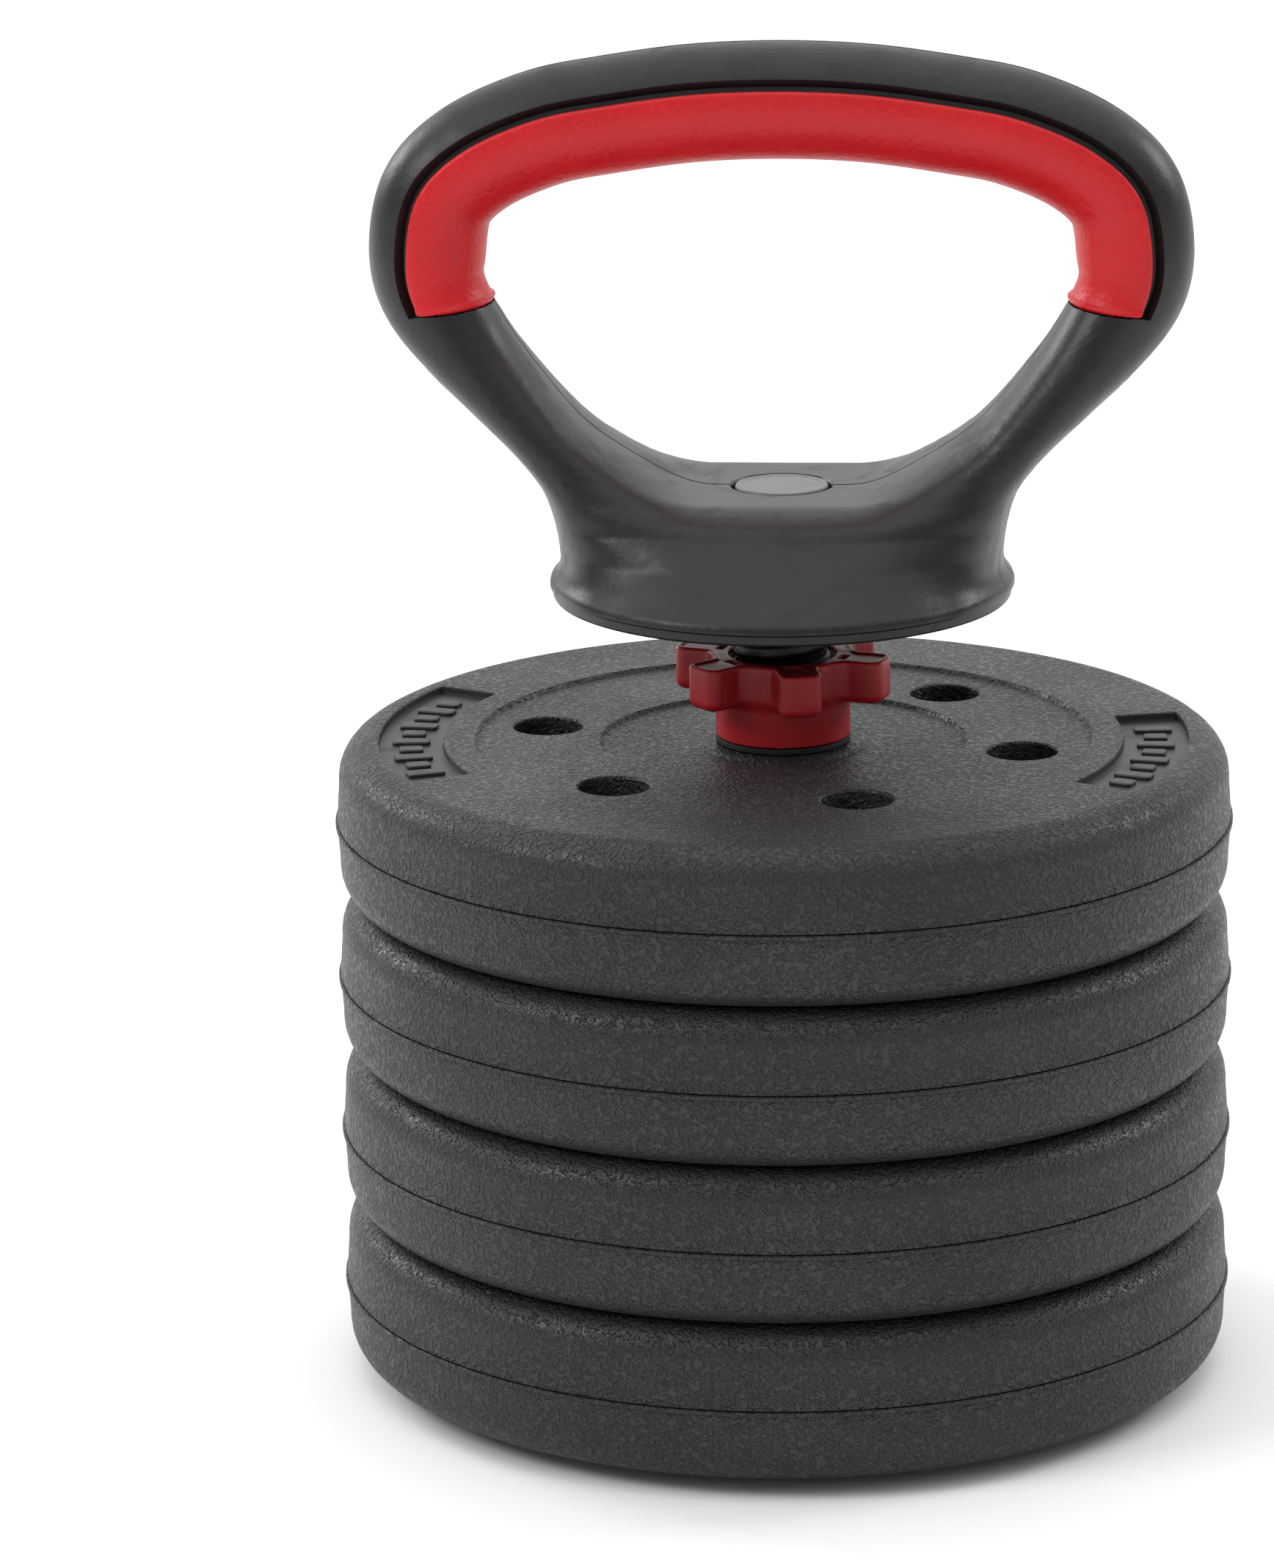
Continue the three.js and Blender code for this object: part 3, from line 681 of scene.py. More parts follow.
# ------------------------------------------------------------------ plates
@dataclass
class Plates(Assembly):
    """Four filled plates, each of two moulded halves, a fill and a filler plug."""

    turns: tuple[float, ...] = (176.7, 27.7, -9.3, 2.7)
    radius: float = 115.0
    bulge: float = 0.7
    edge: float = 9.0
    ring: float = 78.6
    hub: float = 46.4
    bore: float = 14.5
    boss: float = 20.8
    ring_drop: float = 1.1
    hub_drop: float = 2.2
    boss_drop: float = 1.4
    wall: float = 3.2
    seam: float = 0.07
    seam_lip: float = 0.6
    hole: float = 9.0
    hole_circle: float = 62.5
    hole_phase: float = -13.0
    window_floor: float = 2.0
    windows: tuple[tuple[float, float], ...] = ((150.0, 205.0), (-33.5, 11.0))
    window_rims: tuple[float, float] = (87.5, 104.0)
    plug: float = 6.7
    half: float = field(init=False)

    def __post_init__(self) -> None:
        """Takes the plates' thickness from the frame."""
        low, high = span("plate_1_lower_shell")[0], span("plate_1_upper_shell")[1]
        self.half = (high - low) / 2

    def half_shell(self, lip: float) -> Skin:
        """The upper half of a plate's hollow skin, before its holes are cut.

        Args:
            lip: how far the parting lip stands out at the seam.

        Returns:
            The half's skin about the plate's mid-plane.
        """
        top, side = self.half, self.radius - self.bulge
        hub_top, ring_top = top - self.hub_drop, top - self.ring_drop
        roof = hub_top - self.wall
        inner = side - self.wall
        flank = [(side + self.bulge * math.sin(k / 4 * TAU / 4), (top - self.edge) * (1 - k / 4))
                 for k in (1, 2, 3)]
        return turned([
            (self.bore, self.seam),
            (self.bore, top - self.boss_drop, 1.0),
            (self.boss, top - self.boss_drop, 0.5),
            (self.boss + 0.9, hub_top, 0.3),
            (self.hub, hub_top, 0.35),
            (self.hub + 0.9, ring_top, 0.35),
            (self.ring, ring_top, 0.35),
            (self.ring + 0.9, top, 0.45),
            (side, top, self.edge),
            *flank,
            (self.radius, 1.5),
            (self.radius + lip, 1.0),
            (self.radius + lip, self.seam + 0.25),
            (self.radius + lip - 0.4, self.seam),
            (inner, self.seam),
            (inner, roof - 5),
            (inner - 5, roof),
            (self.bore + self.wall, roof),
            (self.bore + self.wall, self.seam),
        ], 224)

    def hole_places(self) -> list[tuple[float, float]]:
        """Where the through holes stand."""
        angles = [math.radians(self.hole_phase + 60 * i) for i in range(6)]
        return [(self.hole_circle * math.cos(a), self.hole_circle * math.sin(a)) for a in angles]

    def drilled(self, shell: Skin) -> Skin:
        """A half with its hole tubes added and its through holes cut."""
        tube = turned([(self.hole - 1, self.seam), (self.hole + self.wall / 2, self.seam),
                       (self.hole + self.wall / 2, self.half - self.hub_drop - 1),
                       (self.hole - 1, self.half - self.hub_drop - 1)], 64)
        cutter = post(self.hole, -1, self.half - self.ring_drop + 1, 0.8)
        tubes = [tube.moved(x, y) for x, y in self.hole_places()]
        cutters = [cutter.moved(x, y) for x, y in self.hole_places()]
        return shell.joined(*tubes).without(*cutters)

    @staticmethod
    def sector(rims: tuple[float, float], arc: tuple[float, float], corner: float,
               grow: float, height: float) -> np.ndarray:
        """A ring of points around a part of a flat ring, with rounded corners.

        Args:
            rims: the inner and outer radius.
            arc: the first and last angle, in degrees.
            corner: the corners' rounding.
            grow: how far the outline is moved outwards.
            height: the ring's height.

        Returns:
            The points, the same number for any grow and height.
        """
        inner, outer = rims[0] - grow, rims[1] + grow
        middle = (inner + outer) / 2
        mid_angle = math.radians(sum(arc) / 2)
        half_arc = math.radians(arc[1] - arc[0]) / 2 * middle + grow
        half_width = (outer - inner) / 2
        size = corner + grow
        ring = []
        steps = 6
        for turn, (along, across) in enumerate([(1, -1), (1, 1), (-1, 1), (-1, -1)]):
            for k in range(steps + 1):
                angle = TAU / 4 * (turn - 1 + k / steps)
                ring.append((along * (half_arc - size) + size * math.cos(angle),
                             across * (half_width - size) + size * math.sin(angle)))
            if turn % 2:
                reach = half_arc - size
                ring += [(along * reach * (1 - 2 * k / 40), across * half_width)
                         for k in range(1, 40)]
        angles = [mid_angle + a / middle for a, _ in ring]
        radii = [middle + b for _, b in ring]
        return np.array([(r * math.cos(t), r * math.sin(t), height)
                         for r, t in zip(radii, angles)])

    def label_window(self, arc: tuple[float, float]) -> Skin:
        """The cutter for one label recess, with a rounded floor and a soft edge."""
        floor, top = self.half - self.window_floor, self.half
        steps = [(-0.5, floor), (-0.15, floor + 0.12), (0.0, floor + 0.5), (0.0, top - 0.6),
                 (0.15, top - 0.2), (0.6, top), (0.6, top + 1)]
        return stacked([self.sector(self.window_rims, arc, 1.2, grow, z) for grow, z in steps])

    def label_bars(self, arc: tuple[float, float]) -> list[Skin]:
        """A plain row of raised bars on a recess's floor, long and short in turn."""
        floor = self.half - self.window_floor
        inner, outer = self.window_rims
        count = round((arc[1] - arc[0]) / 5.2) - 1
        pitch = (arc[1] - arc[0] - 8) / count
        bars = []
        for i in range(count):
            start = arc[0] + 4 + pitch * (i + 0.2)
            inset = 3.4 if i % 2 else 5.2
            rims = (inner + inset, outer - inset)
            steps = [(0.0, floor - 0.5), (0.0, floor + 0.6), (-0.15, floor + 0.85),
                     (-0.45, floor + 0.95)]
            place = (start, start + pitch * 0.6)
            bars.append(stacked([self.sector(rims, place, 1.0, grow, z) for grow, z in steps]))
        return bars

    def pieces(self) -> Iterator[Piece]:
        """The halves and plugs of every plate, from the floor up."""
        upper = self.drilled(self.half_shell(0.0))
        lower = self.drilled(self.half_shell(self.seam_lip)).flipped()
        windows = [self.label_window(arc) for arc in self.windows]
        bars = [bar for arc in self.windows for bar in self.label_bars(arc)]
        upper = upper.without(*windows).joined(*bars)
        angle = math.radians(self.hole_phase + 90)
        plug_x, plug_y = self.hole_circle * math.cos(angle), self.hole_circle * math.sin(angle)
        floor = self.ring_drop - self.half
        lower = lower.without(post(self.plug + 0.3, floor - 2, floor + 6).moved(plug_x, plug_y))
        plug = turned([(0, floor + 1), (3.0, floor + 1, 0.3), (3.6, floor + 0.4, 0.3),
                       (self.plug, floor + 0.4, 0.4), (self.plug, floor + 4), (0, floor + 4)],
                      64).moved(plug_x, plug_y)
        for number, turn in enumerate(self.turns, 1):
            middle = span(f"plate_{number}_lower_shell")[0] + self.half
            body = f"plate_{number}"

            def in_window(centres: np.ndarray, rim: float = middle + self.half) -> np.ndarray:
                """Which faces lie inside a label recess."""
                reach = np.hypot(centres[:, 0], centres[:, 1])
                depth = rim - centres[:, 2]
                inner, outer = self.window_rims
                return ((reach > inner - 1) & (reach < outer + 1) & (depth > 0.3)
                        & (depth < self.window_floor + 0.1))

            for part, skin in (("upper", upper), ("lower", lower)):
                yield Piece(f"{body}_{part}", skin.spun(turn).moved(z=middle), body,
                            f"{body}_{part}_shell", "plate_shell", PLATE, 28.0,
                            PLATE_LABEL if part == "upper" else None, in_window)
            yield Piece(f"{body}_filler", plug.spun(turn).moved(z=middle), body,
                        f"{body}_plug", "plate_shell", PLATE_LABEL)

    def kept(self) -> dict[str, Finish]:
        """The fill stays as the CAD has it, inside the shells."""
        return {f"plate_{number}_core": CEMENT for number in range(1, len(self.turns) + 1)}


# ------------------------------------------------------------------ rod, foot and nut
@dataclass
class Rod(Assembly):
    """The threaded rod and the foot that it stands on."""

    thread: Thread = Thread()
    shank: float = 13.0
    core: float = 8.3
    foot: float = 42.0
    spigot: float = 14.2

    def pieces(self) -> Iterator[Piece]:
        """The threaded sleeve, then the foot's flange, bolt and rubber ring."""
        low, high = span("rod_sleeve")
        joint = span("plate_1_upper_shell")[1]
        bar = turned([(0, low), (self.shank, low), (self.shank, joint, 0.8), (0, joint)], 96)
        bar = bar.joined(self.thread.bar(joint - 3, high))
        yield Piece("rod_thread", bar.without(post(self.core, low - 1, high + 1)), "rod",
                    "rod_sleeve", "rod_plastic", ROD, 50.0)
        bottom, top = span("foot_flange")
        plate_top = bottom + 2.8
        flange = turned([(0, bottom), (self.foot, bottom, 0.5), (self.foot, plate_top, 0.8),
                         (self.spigot, plate_top, 0.4), (self.spigot, top, 0.8), (0, top)])
        head, tip = span("foot_bolt")
        sink = turned([(0, head - 1), (9.8, head - 1), (9.8, head + 0.2), (5.3, head + 4.9),
                       (5.3, tip), (0, tip)], 64)
        yield Piece("foot_disc", flange.without(sink), "rod", "foot_flange", "steel", STEEL)
        bolt = turned([(0, head), (9.3, head, 0.3), (5.0, head + 4.5), (5.0, tip, 0.8),
                       (0, tip)], 64)
        socket = stacked([np.array([(3.5 * math.cos(TAU * i / 6), 3.5 * math.sin(TAU * i / 6), z)
                                    for i in range(6)]) for z in (head - 1, head + 3.5)])
        yield Piece("foot_screw", bolt.without(socket), "rod", "foot_bolt", "steel", STEEL)
        low, high = span("foot_pad")
        grooves = [(radius + shift, low + depth, 0.2) for radius in (34.0, 28.0, 22.0)
                   for shift, depth in ((1, 0), (0.6, 0.8), (-0.6, 0.8), (-1, 0))]
        yield Piece("foot_ring", turned([(12.6, high, 0.3), (self.foot, high, 0.3),
                                         (self.foot, low, 0.7), *grooves, (12.6, low, 0.5)]),
                    "rod", "foot_pad", "rubber", RUBBER)

    def kept(self) -> dict[str, Finish]:
        """The steel core stays as the CAD has it, inside the sleeve."""
        return {"rod_core": STEEL}


@dataclass
class StarNut(Assembly):
    """The six-lobed nut and the washer under it."""

    thread: Thread = Thread()
    reach: float = 28.2
    lobe: float = 11.0
    phase: float = -17.3
    core: float = 18.6
    neck: float = 17.3
    neck_height: float = 10.3
    fillet: float = 2.6
    dish: float = 0.45
    rim: float = 1.3
    mouth: float = 14.0
    slot_reach: float = 16.6
    step: float = 0.36

    def star(self, x: np.ndarray, y: np.ndarray) -> np.ndarray:
        """Distance to the star's plan: a disc and six round-ended lobes."""
        shape = np.hypot(x, y) - self.core
        corner = 3.2
        for k in range(6):
            angle = math.radians(self.phase + 60 * k)
            along = x * math.cos(angle) + y * math.sin(angle)
            across = np.abs(y * math.cos(angle) - x * math.sin(angle))
            out = along - self.reach + corner
            side = across - self.lobe / 2 + corner
            arm = (np.hypot(np.maximum(out, 0), np.maximum(side, 0))
                   + np.minimum(np.maximum(out, side), 0) - corner)
            shape = soft_union(shape, np.maximum(arm, -along), self.fillet)
        return shape

    def slots(self, x: np.ndarray, y: np.ndarray) -> np.ndarray:
        """Distance to the small square openings at the lobes' roots."""
        shape = np.full_like(x, 9.0)
        for k in range(6):
            angle = math.radians(self.phase + 60 * k)
            along = x * math.cos(angle) + y * math.sin(angle) - self.slot_reach
            across = y * math.cos(angle) - x * math.sin(angle)
            shape = np.minimum(shape, np.maximum(np.abs(along) - 1.1, np.abs(across) - 2.2))
        return shape

    def nut(self, low: float, high: float) -> Skin:
        """The nut's skin between two heights."""
        wide = self.reach + 2
        side = np.arange(-wide, wide, self.step)
        up = np.arange(low - 2, high + 2, self.step)
        x, y = np.meshgrid(side, side, indexing="ij")
        plan, slots = self.star(x, y)[:, :, None], self.slots(x, y)[:, :, None]
        radius = np.hypot(x, y)[:, :, None]
        z = up[None, None, :]
        star_low = low + self.neck_height
        middle, half = (star_low + high) / 2, (high - star_low) / 2
        soft = np.where(z < middle, 2.4, 0.8)
        a, b = plan + soft, np.abs(z - middle) - half + soft
        body = np.hypot(np.maximum(a, 0), np.maximum(b, 0)) + np.minimum(np.maximum(a, b), 0)
        body = body - soft
        neck = np.maximum(radius - self.neck, np.abs(z - (low + middle) / 2)
                          - (middle - low) / 2)
        body = soft_union(body, neck, 1.6)
        dish = np.maximum(plan + self.rim, high - self.dish - z)
        body = np.maximum(body, -dish)
        body = np.maximum(body, -np.maximum(slots, high - 4.0 - z))
        share = (np.arctan2(y, x) / TAU)[:, :, None]
        hole = radius - self.thread.radius((z / self.thread.pitch - share) % 1.0) - 0.5
        mouth = np.maximum(radius - self.mouth, high - 2.2 - z)
        body = np.maximum(body, -np.minimum(hole, mouth))
        return surface_of(body, (-wide, -wide, low - 2), self.step)

    def pieces(self) -> Iterator[Piece]:
        """The nut, then its washer."""
        yield Piece("nut_star", self.nut(*span("star_nut")), "nut", "star_nut", "nut_plastic",
                    NUT, 60.0)
        low, high = span("nut_washer")
        ring = turned([(13.05, low, 0.2), (self.neck, low, 0.3), (self.neck, high, 0.3),
                       (13.05, high, 0.2)])
        yield Piece("nut_seal", ring, "washer", "nut_washer", "rubber", RUBBER)


# ------------------------------------------------------------------ handle
class Bow:
    """The centreline and sizes of the handle's loop, from one foot to the other."""

    def __init__(self, half: list[tuple[float, ...]], crown: tuple[float, ...]) -> None:
        """Fits a curve through the stations and measures along it.

        Args:
            half: (x, height, across, deep, squareness) from the foot to the crown. An
                ellipse has a squareness of 2.
            crown: the same for the middle of the grip.
        """
        left = [(-x, *rest) for x, *rest in half]
        stations = np.array([*left, crown, *reversed(half)], float)
        ends = 2 * stations[[0, -1]] - stations[[1, -2]]
        knots = np.vstack([ends[:1], stations, ends[1:]])
        t = np.linspace(0, 1, 60, endpoint=False)[:, None]
        runs = []
        for a, b, c, d in zip(knots, knots[1:], knots[2:], knots[3:]):
            runs.append(0.5 * (2 * b + (c - a) * t + (2 * a - 5 * b + 4 * c - d) * t ** 2
                               + (3 * b - a - 3 * c + d) * t ** 3))
        self.samples = np.vstack([*runs, stations[-1:]])
        steps = np.hypot(*np.diff(self.samples[:, :2], axis=0).T)
        self.length = np.concatenate([[0], np.cumsum(steps)])

    def surface(self, along: np.ndarray, angle: np.ndarray, offset: np.ndarray) -> np.ndarray:
        """Points on the loop's skin.

        Args:
            along: distance from the first foot.
            angle: angle round the bar, zero on the outside of the loop.
            offset: height above the skin.

        Returns:
            Points whose heights are above the base's underside.
        """
        x, z, across, deep = (np.interp(along, self.length, row) for row in self.samples.T[:4])
        ahead, behind = along + 0.5, along - 0.5
        tangent = np.stack([np.interp(ahead, self.length, row)
                            - np.interp(behind, self.length, row)
                            for row in self.samples.T[:2]], -1)
        tangent /= np.linalg.norm(tangent, axis=-1, keepdims=True)
        out = (across + offset) * np.cos(angle)
        return np.stack([x - tangent[..., 1] * out, (deep + offset) * np.sin(angle),
                         z + tangent[..., 0] * out], -1)

    def distance(self, x: np.ndarray, y: np.ndarray, z: np.ndarray) -> np.ndarray:
        """Distance to the loop's skin at every combination of x, y and z."""
        flat_x, flat_z = (grid.ravel() for grid in np.meshgrid(x, z, indexing="ij"))
        centres = self.samples[::3]
        nearest, gap = [], []
        for px, pz in zip(np.array_split(flat_x, 24), np.array_split(flat_z, 24)):
            reach = np.hypot(px[:, None] - centres[None, :, 0], pz[:, None] - centres[None, :, 1])
            index = reach.argmin(1)
            nearest.append(index)
            gap.append(reach[np.arange(len(px)), index])
        index = np.concatenate(nearest)
        shape = (len(x), 1, len(z))
        across, deep, square = (centres[index, k].reshape(shape) for k in (2, 3, 4))
        aside = np.concatenate(gap).reshape(shape)
        back = np.abs(y)[None, :, None]
        level = ((aside / across) ** square + (back / deep) ** square) ** (1 / square)
        power = square - 1
        slope = np.hypot(aside ** power / across ** square, back ** power / deep ** square)
        return (level - 1) * (level ** power + 1e-9) / (slope + 1e-9 / across)


@dataclass
class Handle(Assembly):
    """The loop handle: two shells on a steel bar, with a red grip pad and a round base."""

    grip: float = 14.7
    top: float = 127.5
    horn: tuple[tuple[float, ...], ...] = (
        (36.0, 4.0, 8.0, 27.0, 3.0),
        (41.0, 21.5, 11.9, 28.0, 2.7),
        (57.5, 40.1, 8.9, 25.0, 2.6),
        (71.2, 54.9, 10.2, 20.0, 2.3),
        (80.2, 65.4, 11.8, 17.0, 2.2),
        (88.0, 77.4, 13.5, 15.0, 2.0),
    )
    round_part: tuple[tuple[float, float], ...] = (
        (89.7, 88.5), (86.8, 103.0), (76.5, 113.0), (60.0, 120.3), (44.0, 123.6), (22.0, 126.6))
    bell: tuple[tuple[float, ...], ...] = (
        (0.0, 59.4, 59.4, 2.0),
        (4.2, 59.4, 59.4, 2.0),
        (5.0, 59.1, 59.0, 2.0),
        (6.3, 57.7, 57.6, 2.0),
        (8.2, 56.4, 55.6, 2.0),
        (11.2, 55.3, 52.0, 2.05),
        (14.5, 54.8, 47.8, 2.1),
        (18.0, 54.3, 43.2, 2.3),
        (21.5, 53.4, 38.6, 2.5),
        (24.6, 52.0, 36.4, 2.8),
        (28.4, 50.0, 32.4, 3.2),
        (34.0, 48.0, 30.0, 3.2),
    )
    saddle: float = 28.2
    crest: float = 7.0
    fillet: float = 14.0
    gap: float = 0.38
    step: float = 0.9
    core: float = 6.8
    pad_angle: float = 107.0
    pad_groove: float = 1.9
    pad_thick: float = 2.6
    pad_proud: float = 0.4
    pad_round: float = 1.2
    pad_end: float = 76.0
    pad_slope: float = 0.105
    pad_inner: float = 74.0
    pad_lip: float = 0.8
    cover: float = 58.6
    screw_circle: float = 44.4
    shell_screw: float = 23.0
    shell_screw_height: float = 14.0
    screw_head: float = 3.7
    screw_shank: float = 2.0
    head_hole: float = 4.1
    shank_hole: float = 2.3
    lid_room: float = 3.1
    cap: float = 11.9
    cap_flange: float = 14.0
    bow: Bow = field(init=False)
    base: float = field(init=False)

    def __post_init__(self) -> None:
        """Fits the loop's curve and takes the base's height from the frame."""
        full = [(x, z, self.grip, self.grip, 2.0) for x, z in self.round_part]
        self.bow = Bow([*self.horn, *full], (0.0, self.top, self.grip, self.grip, 2.0))
        self.base = span("base_cover")[0]

    def blank(self) -> Skin:
        """The whole handle as one smooth solid, from the base's cover up."""
        x = np.arange(-109, 109, self.step)
        y = np.arange(-63, 63, self.step)
        z = np.arange(-2, 148, self.step)
        loop = self.bow.distance(x, y, z)
        field_ = soft_union(loop, self.bell_distance(x, y, z), self.fillet)
        low = (float(x[0]), float(y[0]), float(z[0]) + self.base)
        return surface_of(field_, low, self.step)

    def bell_distance(self, x: np.ndarray, y: np.ndarray, z: np.ndarray) -> np.ndarray:
        """Distance to the base: a round rim that rises to a flat, bar-shaped saddle."""
        heights, *rows = np.array(self.bell).T
        across, deep, square = (np.interp(z, heights, row) for row in rows)
        wide, back = np.maximum(np.abs(x), 0.3)[:, None, None], np.abs(y)[None, :, None]
        reach = np.maximum(np.hypot(wide, back), 0.5)
        edge = ((wide / reach / across) ** square + (back / reach / deep) ** square)
        edge = edge ** (-1 / square)
        slope = np.clip(np.gradient(edge, z, axis=2), -3, 3)
        side = np.maximum((reach - edge) / np.hypot(1, slope), 0.5 - z)
        return -soft_union(-side, self.saddle - z - 0 * side, self.crest)

    def pad_start(self, angle: np.ndarray, lower: float) -> np.ndarray:
        """How far along the loop the pad's end plane lies, at each angle round the bar."""
        half = self.bow.length[-1] / 2
        along = np.linspace(0, half, 900)
        starts = []
        for turn in angle:
            spots = self.bow.surface(along, np.full_like(along, turn), 0 * along)
            plane = self.pad_end - lower - self.pad_slope * (np.abs(spots[:, 0]) - self.pad_inner)
            below = np.where(spots[:, 2] < plane)[0][-1]
            starts.append(along[below + 1])
        return np.array(starts)

    def pad_grid(self, limit: float, lower: float) -> tuple[np.ndarray, np.ndarray]:
        """Places on the bar under the pad.

        Args:
            limit: half of the angle that the grid covers, in radians.
            lower: how far below the pad's end plane it starts.

        Returns:
            Distances along the loop and angles round the bar, as two grids.
        """
        near = np.array([0, 0.12, 0.35, 0.7, 1.2, 1.9, 2.8, 4.0])
        edge = near / self.grip
        turns = np.concatenate([edge - limit, np.linspace(5 / self.grip - limit,
                                                          limit - 5 / self.grip, 56),
                                (limit - edge)[::-1]]) + math.pi
        start = self.pad_start(turns, lower)
        whole = self.bow.length[-1]
        share = np.linspace(0, 1, 170)[:, None]
        middle = start[None] + 5 + share * (whole - 2 * start[None] - 10)
        along = np.vstack([start[None] + near[:, None], middle,
                           whole - start[None] - near[::-1, None]])
        return along, np.broadcast_to(turns[None], along.shape)

    def pad(self) -> Skin:
        """The red pad, proud of the bar, with rounded edges and a lip at each end."""
        limit = math.radians(self.pad_angle)
        along, turns = self.pad_grid(limit, 0.0)
        start = along[:1]
        ends = np.minimum(along - start, self.bow.length[-1] - start - along)
        sides = (limit - np.abs(turns - math.pi)) * self.grip
        lip = self.pad_lip * np.clip(1 - np.abs(ends - 0.9) / 1.1, 0, 1)
        inset = np.clip(self.pad_round - np.minimum(ends, sides), 0, self.pad_round)
        drop = self.pad_round - np.sqrt(self.pad_round ** 2 - inset ** 2)
        outer = self.bow.surface(along, turns, self.pad_proud + lip - drop)
        inner = self.bow.surface(along, turns, 0 * along - self.pad_thick)
        return sheet_pair(outer, inner).moved(z=self.base)

    def channel(self) -> Skin:
        """The cutter for the channel that the pad lies in, wider at its mouth."""
        limit = math.radians(self.pad_angle) + self.pad_groove / self.grip
        along, turns = self.pad_grid(limit, 0.3)
        sides = (limit - np.abs(turns - math.pi)) * self.grip
        flare = np.clip(1 - sides / 1.3, 0, 1) * 0.05
        outer_turns = math.pi + (turns - math.pi) * (1 + flare)
        outer = self.bow.surface(along, outer_turns, 0 * along + 1.5)
        inner = self.bow.surface(along, turns, 0 * along - self.pad_thick - 0.3)
        return sheet_pair(outer, inner).moved(z=self.base)

    def bores(self) -> Skin:
        """The round hollows in the base for the rod, the insert and the cap, as one cutter."""
        shell = self.base + self.lid_room
        insert, cap = span("thread_insert")[1], span("saddle_cap")
        flange = self.cap_flange + 0.3
        return turned([
            (0, shell - 4), (22.3, shell - 4), (22.3, shell + 3.3), (18.3, shell + 3.3),
            (18.3, insert + 0.3), (13.35, insert + 0.3), (13.35, cap[0] - 0.3),
            (flange, cap[0] - 0.3), (flange, cap[0] + 1.5), (self.cap + 0.5, cap[0] + 1.5),
            (12.85, cap[1] - 0.8, 0.3), (13.5, cap[1] + 0.1, 0.3), (13.8, cap[1] + 4),
            (0, cap[1] + 4)], 96)

    def at_screws(self, skin: Skin) -> list[Skin]:
        """A copy of a skin at each of the cover's screws."""
        reach = self.screw_circle * math.sqrt(0.5)
        corners = ((1, 1), (-1, 1), (-1, -1), (1, -1))
        return [skin.moved(x * reach, y * reach) for x, y in corners]

    def shells(self) -> tuple[Skin, Skin]:
        """The front and back shells, with their channels, hollows and screw holes."""
        whole = self.bow.length[-1]
        along = np.linspace(0, whole, 260)[:, None]
        turns = np.linspace(0, TAU, 24, endpoint=False)[None]
        across, deep = (np.interp(along, self.bow.length, row)
                        for row in self.bow.samples.T[2:4])
        ring = self.bow.surface(along + 0 * turns, turns + 0 * along, 0 * turns + 0 * along)
        centre = (ring + np.roll(ring, 12, 1)) / 2
        spread = np.stack([across, deep, across], -1)
        bar = centre + (ring - centre) / spread * self.core
        body = self.blank().without(self.channel())
        body = body.without(stacked(list(bar)).moved(z=self.base)).without(self.bores())
        foot = self.base + 2.1
        screws = self.at_screws(post(self.shank_hole, foot, foot + 15))
        for side in (-self.shell_screw, self.shell_screw):
            place = (side, self.shell_seat(), self.base + self.shell_screw_height)
            shank = post(self.shank_hole, -52.5, 0.5).tipped(-90).moved(*place)
            screws.append(shank.joined(post(self.head_hole, 0, 20).tipped(-90).moved(*place)))
        body = body.without(*screws)
        shell_low = self.base + self.lid_room
        front = block((-120, -80, shell_low), (120, -self.gap, shell_low + 160))
        back = block((-120, self.gap, shell_low), (120, 80, shell_low + 160))
        return body.cut(Cut.KEEP, front), body.cut(Cut.KEEP, back)

    def shell_seat(self) -> float:
        """How far back the shell screws' heads sit."""
        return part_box("shell_screw_1")[1].y / MM - 3.6

    def pieces(self) -> Iterator[Piece]:
        """The shells, the pad, then the base's cover, cap and screws."""
        for side, skin in zip(("front", "back"), self.shells()):
            yield Piece(f"handle_{side}", skin, "handle", f"handle_{side}_shell",
                        "handle_plastic", SHELL, 50.0)
        yield Piece("grip_wrap", self.pad(), "handle", "grip_pad", "grip_rubber", GRIP, 60.0)
        low, high = span("base_cover")
        lid = turned([(13.4, low, 0.3), (24, low, 0.3), (25, low + 0.5, 0.3),
                      (44, low + 0.5, 0.3), (45, low, 0.3), (self.cover, low, 0.9),
                      (self.cover, high, 0.3), (13.4, high)])
        sunk = self.at_screws(post(self.head_hole, low - 1, low + 2.1))
        through = self.at_screws(post(self.shank_hole, low, high + 1))
        yield Piece("base_lid", lid.without(*sunk).without(*through), "handle", "base_cover",
                    "handle_plastic", SHELL)
        low, high = span("saddle_cap")
        flange = self.cap_flange
        cap = turned([(0, low), (flange, low, 0.2), (flange, low + 1.2), (self.cap, low + 1.2),
                      (self.cap, high, 0.7), (self.cap - 1.1, high, 0.3),
                      (self.cap - 1.9, high - 0.25, 0.5), (0, high - 0.35)])
        yield Piece("saddle_button", cap, "cap", "saddle_cap", "cap_plastic", CAP)
        low = span("cover_screw_1")[0]
        small = screw(self.screw_head, 1.8, self.screw_shank, 13.5)
        for number, skin in enumerate(self.at_screws(small.moved(z=low)), 1):
            yield Piece(f"lid_screw_{number}", skin, "handle", f"cover_screw_{number}",
                        "steel", STEEL)
        long = screw(self.screw_head, 3.2, self.screw_shank, 48.0).tipped(90)
        long = long.moved(y=self.shell_seat() + 3.2, z=self.base + self.shell_screw_height)
        for number, side in enumerate((-self.shell_screw, self.shell_screw), 1):
            yield Piece(f"back_screw_{number}", long.moved(x=side), "handle",
                        f"shell_screw_{number}", "steel", STEEL)

    def kept(self) -> dict[str, Finish]:
        """The steel bar and the threaded insert stay as the CAD has them."""
        return {"handle_core": STEEL, "thread_insert": STEEL}


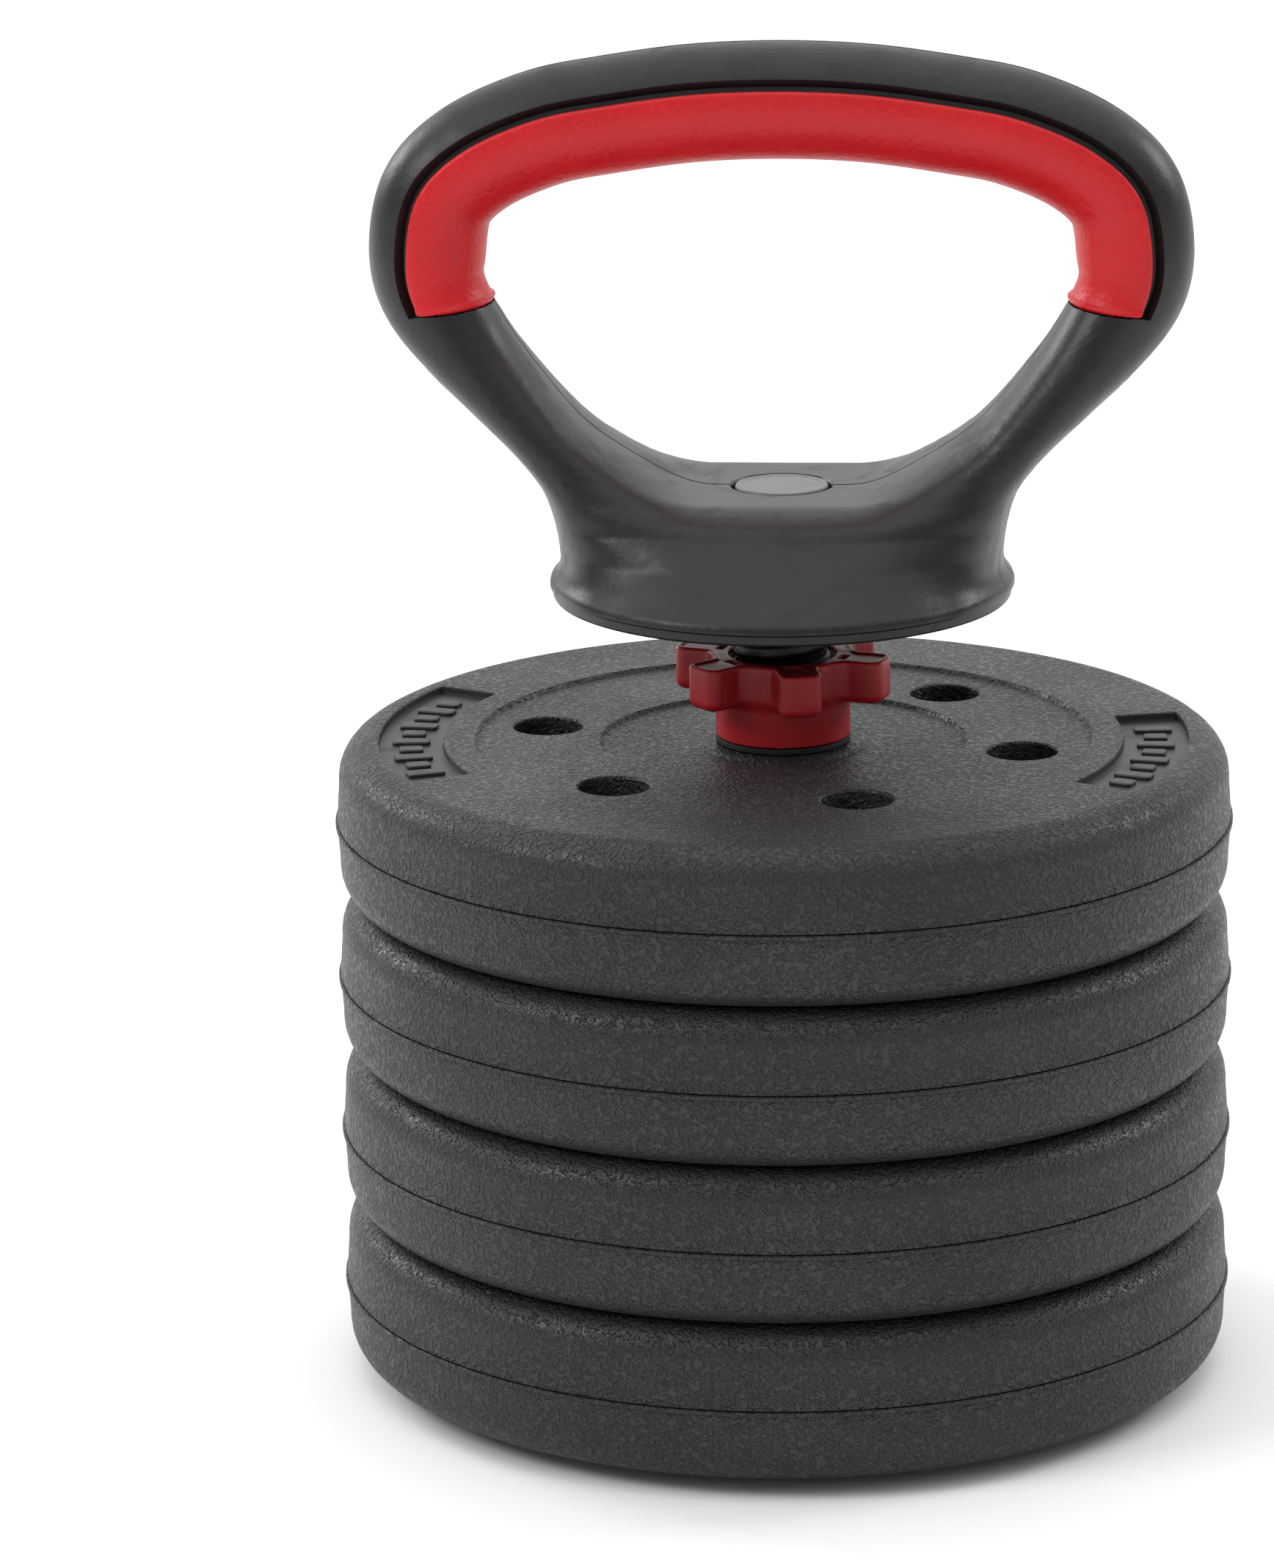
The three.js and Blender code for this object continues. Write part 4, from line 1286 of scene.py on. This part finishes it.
# ------------------------------------------------------------------ studio
@dataclass
class Studio:
    """The pale floor, the soft lights and the camera."""

    reach: float = 1.745
    eye_height: float = 0.6297
    side: float = 2.67
    lens: float = 160.97
    pitch: float = 15.24
    yaw: float = -1.24
    roll: float = -0.67
    ambient: float = 0.24
    zenith: float = 1.5
    backdrop: float = 0.95

    def floor(self) -> None:
        """A wide plain floor."""
        skin = block((-6000, -6000, -20), (6000, 6000, 0))
        made = skin.as_object("studio_floor")
        paint = Bench("studio_white")
        shade = paint.blend(paint.noise(3.0), (0.93, 0.93, 0.93), (0.96, 0.96, 0.96))
        even = paint.spread(paint.noise(40.0), (0, 1), (0.85, 0.95))
        paint.finish(shade, even, paint.relief(paint.noise(400.0), 0.01),
                     Specular_IOR_Level=0.1)
        made.data.materials.append(paint.material)

    def sky(self) -> None:
        """A white sky, brightest overhead and low down behind the kettlebell."""
        world = bpy.data.worlds.new("studio")
        world.use_nodes = True
        tree = world.node_tree
        spot = tree.nodes.new("ShaderNodeTexCoord").outputs["Generated"]
        split = tree.nodes.new("ShaderNodeSeparateXYZ")
        tree.links.new(spot, split.inputs[0])
        total = tree.nodes.new("ShaderNodeValue").outputs[0]
        total.default_value = self.ambient
        for axis, strength in (("Z", self.zenith), ("Y", self.backdrop)):
            last = split.outputs[axis]
            for action, value in (("MAXIMUM", 0.0), ("POWER", 2.0), ("MULTIPLY", strength)):
                step = tree.nodes.new("ShaderNodeMath")
                step.operation = action
                step.inputs[1].default_value = value
                tree.links.new(last, step.inputs[0])
                last = step.outputs[0]
            both = tree.nodes.new("ShaderNodeMath")
            tree.links.new(last, both.inputs[0])
            tree.links.new(total, both.inputs[1])
            total = both.outputs[0]
        tree.links.new(total, tree.nodes["Background"].inputs["Strength"])
        tree.nodes["Background"].inputs["Color"].default_value = (1, 1, 1, 1)
        bpy.context.scene.world = world

    def lamp(self, name: str, place: tuple[float, float, float], size: float,
             power: float) -> None:
        """A square soft light that points at the middle of the object.

        Args:
            name: the light's name.
            place: where it stands, in metres.
            size: the length of its side, in metres.
            power: its power in watts.
        """
        data = bpy.data.lights.new(name, "AREA")
        data.size, data.energy = size, power
        made = bpy.data.objects.new(name, data)
        made.location = place
        aim = Vector((0, 0, 0.2)) - Vector(place)
        made.rotation_euler = aim.to_track_quat("-Z", "Y").to_euler()
        bpy.context.scene.collection.objects.link(made)

    def camera(self) -> None:
        """The camera, tilted down a little and all but level."""
        data = bpy.data.cameras.new("camera")
        data.lens, data.sensor_width, data.sensor_fit = self.lens, 36.0, "AUTO"
        data.clip_start, data.clip_end = 0.05, 50
        made = bpy.data.objects.new("camera", data)
        side, pitch, roll = map(math.radians, (self.side, self.pitch, self.roll))
        yaw = math.radians(self.yaw) - side
        ahead = Vector((math.sin(yaw) * math.cos(pitch), math.cos(yaw) * math.cos(pitch),
                        -math.sin(pitch)))
        level = ahead.cross(Vector((0, 0, 1))).normalized()
        top = level.cross(ahead)
        right = level * math.cos(roll) + top * math.sin(roll)
        top = top * math.cos(roll) - level * math.sin(roll)
        made.matrix_world = Matrix((right, top, -ahead)).transposed().to_4x4()
        made.matrix_world.translation = Vector((self.reach * math.sin(side),
                                                -self.reach * math.cos(side),
                                                self.eye_height))
        bpy.context.scene.collection.objects.link(made)
        bpy.context.scene.camera = made

    def build(self) -> None:
        """Sets the floor, the sky, the lamps and the camera."""
        scene = bpy.context.scene
        scene.view_settings.view_transform = "Standard"
        self.sky()
        self.floor()
        self.lamp("key_left", (-1.7, -0.9, 1.5), 0.8, 16)
        self.lamp("rim_left", (-1.4, 1.0, 0.9), 0.6, 9)
        self.lamp("rim_right", (1.6, 0.7, 1.1), 0.6, 9)
        self.camera()


def main() -> None:
    """Builds the studio and every assembly."""
    logging.basicConfig(level=logging.INFO, format="%(message)s")
    Studio().build()
    for assembly in (Plates(), Rod(), StarNut(), Handle()):
        assembly.build()


if __name__ == "__main__":
    main()
